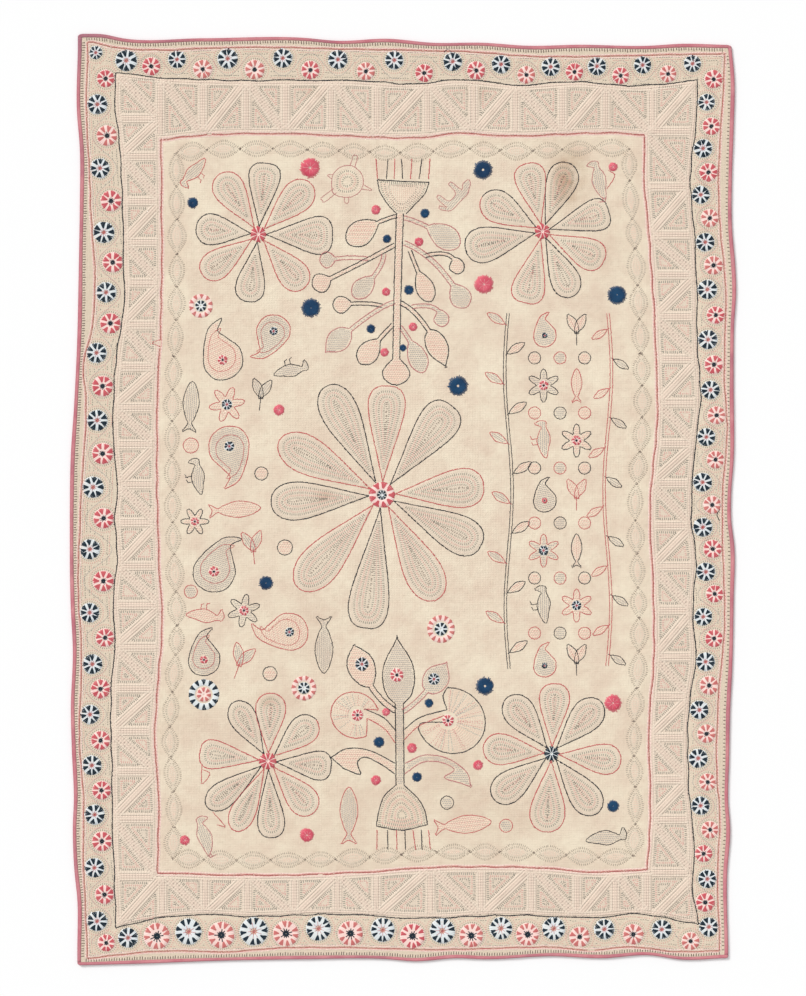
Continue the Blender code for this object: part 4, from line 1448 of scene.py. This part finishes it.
def ground_mesh(ground):
    """The cloth: its worked face, a plain underside and the wall between them."""
    rows, columns = ground.z.shape
    index = np.arange(rows * columns).reshape(rows, columns)
    top = np.column_stack([ground.x.ravel(), ground.y.ravel(), ground.z.ravel()])
    faces = [quads_to_triangles(index[:-1, :-1], index[:-1, 1:], index[1:, 1:], index[1:, :-1])]
    rim = np.concatenate([index[0, :-1], index[:-1, -1], index[-1, :0:-1], index[:0:-1, 0]])
    count, loops, points = len(rim), [rim], [top]
    for shift in (0.0, RIM_FLAT, RIM_FLAT + RIM_SLOPE / 2, RIM_FLAT + RIM_SLOPE):
        flat = top[rim, :2] * (1.0 - np.array([shift / HALF_WIDTH, shift / HALF_LENGTH]))
        loops.append(len(top) + count * (len(points) - 1) + np.arange(count))
        points.append(np.column_stack([flat, lift_off_floor(np.full(count, shift + ground.INSIDE))]))
    for one, two in zip(loops, loops[1:]):
        faces.append(quads_to_triangles(one, two, np.roll(two, -1), np.roll(one, -1)))
    hub = sum(len(part) for part in points)
    points.append(np.zeros((1, 3)))
    faces.append(np.stack([loops[-1], np.full(count, hub), np.roll(loops[-1], -1)], -1))
    made = mesh_of("cream_cotton_ground", np.vstack(points), np.concatenate(faces))
    x, y = ground.flat
    add_layer(made.data, "field", np.clip(gap_to(INNER, x, y) / ZONE_SOFT + 0.5, 0.0, 1.0))
    add_layer(made.data, "band", np.clip(0.5 - gap_to(OUTER, x, y) / ZONE_SOFT, 0.0, 1.0))
    add_layer(made.data, "worked", ground.worked)
    add_layer(made.data, "stain", stains(x, y))
    add_layer(made.data, "grime", np.clip(1.0 - gap_to(EDGE, x, y) / GRIME_REACH, 0.0, 1.0))
    return made


# Old stains, and in the last row a broad darker tone over the lower part: x, y, half width, half height,
# strength
STAINS = (
    (334, 655, 34, 52, 0.85), (318, 620, 22, 34, 0.6), (-156, 6, 16, 10, 0.75), (-180, 812, 26, 16, 0.3),
    (150, 812, 30, 20, 0.3), (-270, -402, 26, 14, 0.5), (-20, -470, 60, 40, 0.18),
    (118, -560, 60, 46, 0.16), (204, -640, 80, 40, 0.14), (-206, -250, 90, 70, 0.1),
    (420, 500, 60, 60, 0.12), (-430, -420, 70, 60, 0.12), (0, -600, 420, 240, 0.1),
)

# Mends and loose ends: a few points each, and the thread
MARKS = (
    (((-402, -531), (-402, -567), (-386, -549), (-400, -540)), "red"),
    (((-380, -625), (-356, -653), (-372, -650)), "red"),
    (((-484, 320), (-500, 313), (-486, 306)), "red"),
    (((411, 658), (423, 647), (408, 621)), "red"),
    (((82, 894), (90, 900), (96, 893), (88, 888)), "dark"),
    (((576, 884), (584, 880), (580, 874)), "dark"),
    (((630, 0), (634, -14), (628, -30), (632, -42)), "dark"),
)


def stains(x, y):
    """How strongly the cloth is stained, or darker over the lower part, at points."""
    total = np.zeros_like(x)
    for across_at, up_at, wide, high, strength in STAINS:
        total += strength * np.exp(-(((x - across_at) / wide) ** 2 + ((y - up_at) / high) ** 2))
    return np.clip(total, 0.0, 1.0)


def joint(upright, level):
    """The place up a side where its strip ends and the strip over the top or bottom begins."""
    turn = corner(EDGE, upright, level)
    inside = turn[0] + math.copysign(float(reach(upright, turn[1])), -turn[0])
    return place(level, inside, inset(EDGE, level, inside) + reach(level, inside))[1]


def side_strip(side):
    """An upright strip's outer and inner points, from the bottom joint to the top one."""
    low = joint(side, "bottom") + CLEAR / 2
    high = joint(side, "top") - CLEAR / 2
    outer = run(EDGE, side, low, high, 4.0)
    inner = place(side, outer[:, 1], inset(EDGE, side, outer[:, 1]) + reach(side, outer[:, 1]))
    return outer, inner


def level_strip(level):
    """The top or bottom strip's outer and inner points, from one joint round both corners to the other."""
    outward = 1 if level == "top" else -1
    ends, crowded, starts = [], [], []
    for upright in ("left", "right"):
        radius = CORNER_RADIUS[upright, level]
        turn = corner(EDGE, upright, level)
        cut = joint(upright, level) + outward * CLEAR / 2
        low = turn[1] - outward * min(radius, 0.9 * abs(turn[1] - cut))
        beyond = turn[0] + math.copysign(radius, -turn[0])
        before = place(upright, low, inset(EDGE, upright, low))
        after = place(level, beyond, inset(EDGE, level, beyond))
        t = np.linspace(0.0, 1.0, 9)[:, None]
        arc = bent(t, before, turn, after)
        ends.append(np.vstack([place(upright, cut, inset(EDGE, upright, cut))[None], arc]))
        inward = math.copysign(float(reach(upright, turn[1])), -turn[0])
        crowded.append(turn[0] + inward * np.linspace(1.0, 2.2, len(arc) + 1))
        starts.append(after[0])
    straight = run(EDGE, level, starts[0], starts[1], 4.0)[1:-1]
    outer = np.vstack([ends[0], straight, ends[1][::-1]])
    x = np.concatenate([crowded[0], straight[:, 0], crowded[1][::-1]])
    x = np.maximum.accumulate(x)
    return outer, place(level, x, inset(EDGE, level, x) + reach(level, x))


# How far apart a strip's puckers are, how much painted shade darkens each point of its section, and where
# it is dull
PUCKER_PITCH = 12.0
# Painted shade: 1 darkens the round fold's outer wall and the turned-in edge, where the strip curves away
# from the light
STRIP_EDGE_SHADE = (0.0, 0.0, 0.0, 1.0, 1.0, 1.0, 0.9, 0.35, 0.0, 0.3, 1.0, 1.0, 0.0, 0.0, 0.0, 0.0)
DULL_CORNER = (-640.0, 915.0)
DULL_REACH = 70.0


def strip_mesh(side):
    """A folded strip with a round fold, a soft turned-in edge and small even puckers."""
    outer, inner = side_strip(side) if side in ("left", "right") else level_strip(side)
    depth = np.hypot(*(inner - outer).T)
    way = (inner - outer) / depth[:, None]
    so_far = lengths_to((outer + inner) / 2)
    pull = 0.5 - 0.5 * np.cos(2 * np.pi * so_far / PUCKER_PITCH)
    swell = 0.12 * np.sin(so_far / 17.0) + 0.1 * np.sin(so_far / 7.3 + 1.0)
    depth = depth - 0.35 * pull
    face = RIM_LIFT + CLOTH
    top = face + CLEAR + STRIP
    section = (
        (depth, 0.0), (FOLD, 0.0), (0.5, 0.35), (0.0, 1.2), (0.0, 2.6), (0.3, 3.8), (0.9, 4.4 + swell),
        (FOLD + 0.4, top + swell), (0.55 * depth, top + 0.15 + swell - 0.1 * pull),
        (0.85 * depth, top - 0.05 - 0.25 * pull), (depth - 0.2, face + 0.55 - 0.2 * pull),
        (depth, face + 0.1), (0.5 * depth, face + 0.3), (STRIP, face + 0.3), (STRIP, STRIP), (depth, STRIP),
    )
    loops = []
    for distance, height in section:
        distance, height, _ = np.broadcast_arrays(distance, height, depth)
        loops.append(np.column_stack([outer + way * distance[:, None], height]))
    points = np.stack(loops, 1)
    stations, round_it = points.shape[:2]
    index = np.arange(stations * round_it).reshape(stations, round_it)
    following = np.roll(index, -1, axis=1)
    wall = quads_to_triangles(index[:-1], following[:-1], following[1:], index[1:])
    triangles = np.concatenate([wall, cap(index[0])[:, ::-1], cap(index[-1])])
    if side in ("right", "bottom"):
        triangles = triangles[:, ::-1]
    made = mesh_of(f"rose_strip_{side}", points.reshape(-1, 3), triangles)
    dull = np.exp(-((outer - DULL_CORNER) ** 2).sum(1) / DULL_REACH ** 2)
    # the edge layer carries the painted shade of the round fold and the turned-in edge
    add_layer(made.data, "edge", np.tile(STRIP_EDGE_SHADE, stations))
    add_layer(made.data, "dull", np.repeat(dull, round_it))
    return made


def cap(loop):
    """Closes a strip's end: the fold's two legs and its outer wall as bands between matching points."""
    pairs = (
        (0, 15), (1, 15), (1, 14), (2, 14), (3, 14), (4, 14), (4, 13), (5, 13), (6, 13), (7, 13), (8, 13),
        (8, 12), (9, 12), (10, 12), (10, 11),
    )
    faces = [(a, c, d) if a != c else (a, d, b) for (a, b), (c, d) in zip(pairs, pairs[1:])]
    return loop[np.array(faces)]


def srgb(red, green, blue):
    """A colour as seen, 0 to 255, as the shader's linear values."""
    made = []
    for value in (red, green, blue):
        share = value / 255
        made.append(share / 12.92 if share <= 0.04045 else ((share + 0.055) / 1.055) ** 2.4)
    return (*made, 1.0)


# A wave texture's bands lie this many metres apart at scale one
WAVE = 0.314


class Nodes:
    """Short calls that add and join a material's nodes."""

    def __init__(self, name):
        self.material = bpy.data.materials.new(name)
        self.material.use_nodes = True
        self.tree = self.material.node_tree
        self.shader = self.tree.nodes["Principled BSDF"]
        self.place = self.add("ShaderNodeTexCoord", {}).outputs["Object"]

    def add(self, kind, sockets, **settings):
        """A new node with its settings, each socket given joined to an output or set to a value."""
        node = self.tree.nodes.new(kind)
        for name, value in settings.items():
            setattr(node, name, value)
        for name, value in sockets.items():
            self.join(value, node.inputs[name])
        return node

    def join(self, value, socket):
        if hasattr(value, "is_output"):
            self.tree.links.new(value, socket)
        else:
            socket.default_value = value

    def noise(self, scale, detail, rough=0.5):
        sockets = {"Vector": self.place, "Scale": scale, "Detail": detail, "Roughness": rough}
        return self.add("ShaderNodeTexNoise", sockets).outputs["Fac"]

    def bands(self, pitch, direction, wander):
        """Even bands, a pitch in metres apart."""
        sockets = {"Vector": self.place, "Scale": WAVE / pitch, "Distortion": wander, "Detail": 1.0}
        sockets["Detail Scale"] = 0.6
        node = self.add("ShaderNodeTexWave", sockets, wave_type="BANDS", bands_direction=direction)
        return node.outputs["Fac"]

    def weave(self, pitch):
        """Crossed yarns of a plain weave, a pitch in metres apart."""
        return self.times(self.bands(pitch, "X", 0.6), self.bands(pitch, "Y", 0.6))

    def ramp(self, value, low, high):
        sockets = {"Value": value, "From Min": low, "From Max": high}
        return self.add("ShaderNodeMapRange", sockets).outputs["Result"]

    def times(self, one, two):
        return self.add("ShaderNodeMath", {0: one, 1: two}, operation="MULTIPLY").outputs["Value"]

    def plus(self, one, two):
        return self.add("ShaderNodeMath", {0: one, 1: two}, operation="ADD").outputs["Value"]

    def mix(self, share, one, two):
        return self.add("ShaderNodeMix", {"Factor": share, 6: one, 7: two}, data_type="RGBA").outputs[2]

    def tint(self, colour, share, red, green, blue):
        """A colour with a share of another one over it."""
        return self.mix(share, colour, srgb(red, green, blue))

    def layer(self, name):
        return self.add("ShaderNodeAttribute", {}, attribute_name=name).outputs["Fac"]

    def finish(self, colour, roughness, height, strength, distance, sheen):
        self.join(colour, self.shader.inputs["Base Color"])
        self.join(roughness, self.shader.inputs["Roughness"])
        self.shader.inputs["Specular IOR Level"].default_value = 0.2
        self.shader.inputs["Sheen Weight"].default_value = sheen
        self.shader.inputs["Sheen Roughness"].default_value = 0.6
        relief = self.add("ShaderNodeBump", {"Strength": strength, "Distance": distance, "Height": height})
        self.join(relief.outputs["Normal"], self.shader.inputs["Normal"])
        return self.material


def cream_cotton():
    """Old cream cotton: yellower in the field, greyer where closely worked, with stains and puckers."""
    nodes = Nodes("cream_cotton")
    broad = nodes.ramp(nodes.noise(3.1, 3.0), 0.35, 0.65)
    patchy = nodes.ramp(nodes.noise(14.0, 5.0, 0.65), 0.36, 0.64)
    fine = nodes.noise(420.0, 2.0)
    border = nodes.mix(broad, srgb(238, 220, 200), srgb(230, 210, 190))
    field = nodes.mix(patchy, srgb(241, 227, 203), srgb(229, 208, 186))
    colour = nodes.mix(nodes.layer("field"), border, field)
    colour = nodes.tint(colour, nodes.times(nodes.layer("band"), 0.9), 228, 212, 189)
    colour = nodes.tint(colour, nodes.times(nodes.layer("worked"), 0.7), 228, 213, 193)
    patches = nodes.ramp(nodes.noise(36.0, 4.0, 0.65), 0.15, 0.75)
    # stains, and a broad darker tone over the lower part
    colour = nodes.tint(colour, nodes.times(nodes.layer("stain"), patches), 170, 132, 96)
    colour = nodes.tint(colour, nodes.times(nodes.layer("grime"), 0.25), 200, 180, 160)
    mottle = nodes.ramp(nodes.noise(70.0, 4.0, 0.7), 0.5, 0.8)
    colour = nodes.tint(colour, nodes.times(mottle, 0.3), 206, 184, 160)
    colour = nodes.tint(colour, nodes.times(fine, 0.16), 192, 174, 150)
    rows = nodes.times(nodes.bands(0.0046, "Y", 2.4), nodes.bands(0.0052, "X", 2.4))
    height = nodes.plus(nodes.times(rows, 0.2), nodes.noise(95.0, 3.0, 0.55))
    height = nodes.plus(height, nodes.times(nodes.weave(0.0009), 0.12))
    rough = nodes.plus(nodes.times(fine, 0.12), 0.82)
    return nodes.finish(colour, rough, height, 0.9, 0.0014, 0.15)


def rose_cotton():
    """Faded rose cotton: paler where it is worn, darker and greyer where it is soiled, and darker with
    painted shade at its rounded fold and turned-in edge.
    """
    nodes = Nodes("rose_cotton")
    faded = nodes.ramp(nodes.noise(26.0, 4.0, 0.6), 0.35, 0.7)
    colour = nodes.mix(faded, srgb(198, 106, 120), srgb(220, 144, 148))
    soiled = nodes.ramp(nodes.noise(9.0, 3.0, 0.6), 0.5, 0.72)
    colour = nodes.tint(colour, nodes.times(soiled, 0.75), 156, 84, 106)
    # painted shade: darker where the strip curves down at its fold and at its turned-in edge
    colour = nodes.tint(colour, nodes.times(nodes.layer("edge"), 0.7), 150, 60, 84)
    colour = nodes.tint(colour, nodes.times(nodes.layer("dull"), 0.6), 126, 74, 102)
    fine = nodes.noise(700.0, 2.0)
    colour = nodes.tint(colour, nodes.times(fine, 0.25), 236, 186, 184)
    height = nodes.plus(nodes.weave(0.0008), nodes.times(nodes.noise(260.0, 3.0), 1.2))
    rough = nodes.plus(nodes.times(fine, 0.1), 0.8)
    return nodes.finish(colour, rough, height, 0.6, 0.0004, 0.2)


def thread(name, main, faded):
    """Stranded cotton: two tones of a colour in patches, and the fine twist of its strands."""
    nodes = Nodes(name)
    patches = nodes.ramp(nodes.noise(34.0, 3.0, 0.6), 0.35, 0.68)
    colour = nodes.tint(srgb(*main), nodes.times(patches, 0.6), *faded)
    flecks = nodes.ramp(nodes.noise(900.0, 1.0), 0.3, 0.75)
    colour = nodes.tint(colour, nodes.times(flecks, 0.3), *faded)
    rough = nodes.plus(nodes.times(flecks, 0.15), 0.65)
    return nodes.finish(colour, rough, nodes.noise(2600.0, 1.0), 0.5, 0.0002, 0.15)


# Threads: slot, main colour and faded colour as seen, and the pieces stitched with it
THREADS = {
    "red": ("red_thread", (188, 82, 84), (210, 118, 112), "red_lines"),
    "rose": ("red_thread", (212, 68, 94), (234, 124, 138), "tufts_rose"),
    "crimson": ("red_thread", (194, 74, 86), (210, 110, 112), "wheels_red"),
    "pink": (
        "pink_thread", (214, 150, 142), (222, 172, 160),
        "border_pink band_pink zigzag_pink echo_pink fill_pink",
    ),
    "pale_pink": (
        "pale_pink_thread", (230, 213, 194), (225, 205, 186), "band_pale bars_pale_pink fill_pale_pink",
    ),
    "wheel_pink": ("pale_pink_thread", (246, 210, 202), (246, 226, 216), "border_pale wheels_pale_pink"),
    "dark": ("dark_thread", (10, 16, 26), (38, 42, 52), "dark_lines"),
    "old_red": ("red_thread", (166, 74, 74), (194, 110, 102), "border_red"),
    "dusty": ("red_thread", (196, 102, 100), (214, 136, 128), "wheels_dusty"),
    "mauve": ("red_thread", (182, 112, 112), (204, 146, 140), "mauve_lines"),
    "wedge": ("dark_thread", (5, 28, 42), (22, 46, 60), "wheels_dark"),
    "blue": ("blue_thread", (4, 44, 80), (24, 82, 122), "tufts_blue"),
    "pale_blue": ("pale_blue_thread", (218, 226, 230), (232, 232, 226), "wheels_pale_blue"),
    "peach": ("pale_pink_thread", (229, 208, 190), (224, 201, 183), "bars_peach echo_peach"),
    "apricot": ("pale_pink_thread", (240, 206, 184), (236, 210, 192), "chain_pink fill_peach"),
    "grey": ("grey_thread", (122, 120, 110), (158, 152, 138), "band_grey zigzag_grey echo_grey"),
    "ash": ("grey_thread", (176, 168, 158), (198, 188, 178), "vine fill_grey"),
    "fawn": ("grey_thread", (166, 152, 134), (190, 176, 156), "chain_fawn"),
    "brown": ("grey_thread", (90, 74, 68), (134, 114, 100), "hem_stitches chain_knots echo_brown"),
}


def dress(piece, material, slot):
    """A piece's material and body; slot is not used."""
    piece.data.materials.append(material)
    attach(piece, "root")


# The stage: the floor's half width and how far it lies below the quilt, in metres, its shade, and the light
FLOOR_HALF = 6.0
FLOOR_DROP = 0.0002
FLOOR_SHADE = 0.93
SKY_STRENGTH = 0.66
SUN_ENERGY = 2.4
SUN_DEGREES = 20
SUN_WAY = (1.0, -1.1, -0.95)
# The camera: what its picture spans from top to bottom, how high it hangs and where, in millimetres
PHOTO_TALL = 1992.0
CAMERA_UP = 4500.0
CAMERA_NORTH = 3.0
SENSOR = 36.0


def make_floor():
    """A pale floor without gloss."""
    mesh = bpy.data.meshes.new("floor")
    corners = [(x * FLOOR_HALF, y * FLOOR_HALF, 0) for x, y in ((-1, -1), (1, -1), (1, 1), (-1, 1))]
    mesh.from_pydata(corners, [], [(0, 1, 2, 3)])
    floor = add_object("floor", mesh)
    floor.location.z = -FLOOR_DROP
    pale = bpy.data.materials.new("pale_floor")
    pale.use_nodes = True
    sockets = pale.node_tree.nodes["Principled BSDF"].inputs
    sockets["Base Color"].default_value = (FLOOR_SHADE, FLOOR_SHADE, FLOOR_SHADE, 1)
    sockets["Roughness"].default_value = 0.95
    sockets["Specular IOR Level"].default_value = 0.0
    mesh.materials.append(pale)
    return floor


def make_light():
    """White light from all round and a soft sun from the upper left, as in the photograph."""
    world = bpy.data.worlds.new("studio")
    world.use_nodes = True
    sockets = world.node_tree.nodes["Background"].inputs
    sockets["Color"].default_value = (1.0, 1.0, 1.0, 1.0)
    sockets["Strength"].default_value = SKY_STRENGTH
    bpy.context.scene.world = world
    sun = bpy.data.lights.new("window", "SUN")
    sun.energy = SUN_ENERGY
    sun.angle = math.radians(SUN_DEGREES)
    add_object("window", sun).rotation_euler = Vector(SUN_WAY).to_track_quat("-Z", "Y").to_euler()


def make_camera():
    """The camera straight above the quilt."""
    camera = bpy.data.cameras.new("camera")
    camera.sensor_width = SENSOR
    camera.lens = SENSOR * CAMERA_UP / PHOTO_TALL
    hung = add_object("camera", camera)
    hung.location = (0.0, CAMERA_NORTH * MM, CAMERA_UP * MM)
    bpy.context.scene.camera = hung
    bpy.context.scene.view_settings.view_transform = "Standard"


def sew_all(wheels, crosses, slants, triangles, leaves):
    """All the stitching, in the order of its random draws."""
    sew_lines()
    sew_hem()
    sew_wheels(wheels)
    sew_wheel_band(wheels)
    sew_zigzag(crosses, slants, triangles)
    sew_chain(leaves)
    sew_flowers()
    sew_top_plant()
    sew_low_plant()
    sew_animals()
    sew_motifs()
    sew_marks()
    for x, y, diameter, colour in DOTS:
        tuft((x, y), diameter, colour)
    for x, y, *settings in ROSETTES:
        ring_rosette((x, y), *settings)


def main():
    crosses, slants, triangles = zigzag_cells()
    leaves = chain_leaves()
    ground = Ground(crosses, slants, triangles, leaves)
    sew_all(wheel_places(), crosses, slants, triangles, leaves)

    cloth = ground_mesh(ground)
    dress(cloth, cream_cotton(), "quilted_cotton")
    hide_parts("quilt")
    rose = rose_cotton()
    for side in SIDES:
        strip = strip_mesh(side)
        dress(strip, rose, "rose_cotton")
        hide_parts(f"binding_{side}")
    looks = {}
    for name, (slot, main_colour, faded, pieces) in THREADS.items():
        material = thread(f"{name}_thread", main_colour, faded)
        looks.update({piece: (material, slot) for piece in pieces.split()})
    for name, rows in sewn.items():
        piece = stitch_mesh(name, np.vstack(rows), ground)
        dress(piece, *looks[name])

    floor = make_floor()
    make_light()
    make_camera()


main()
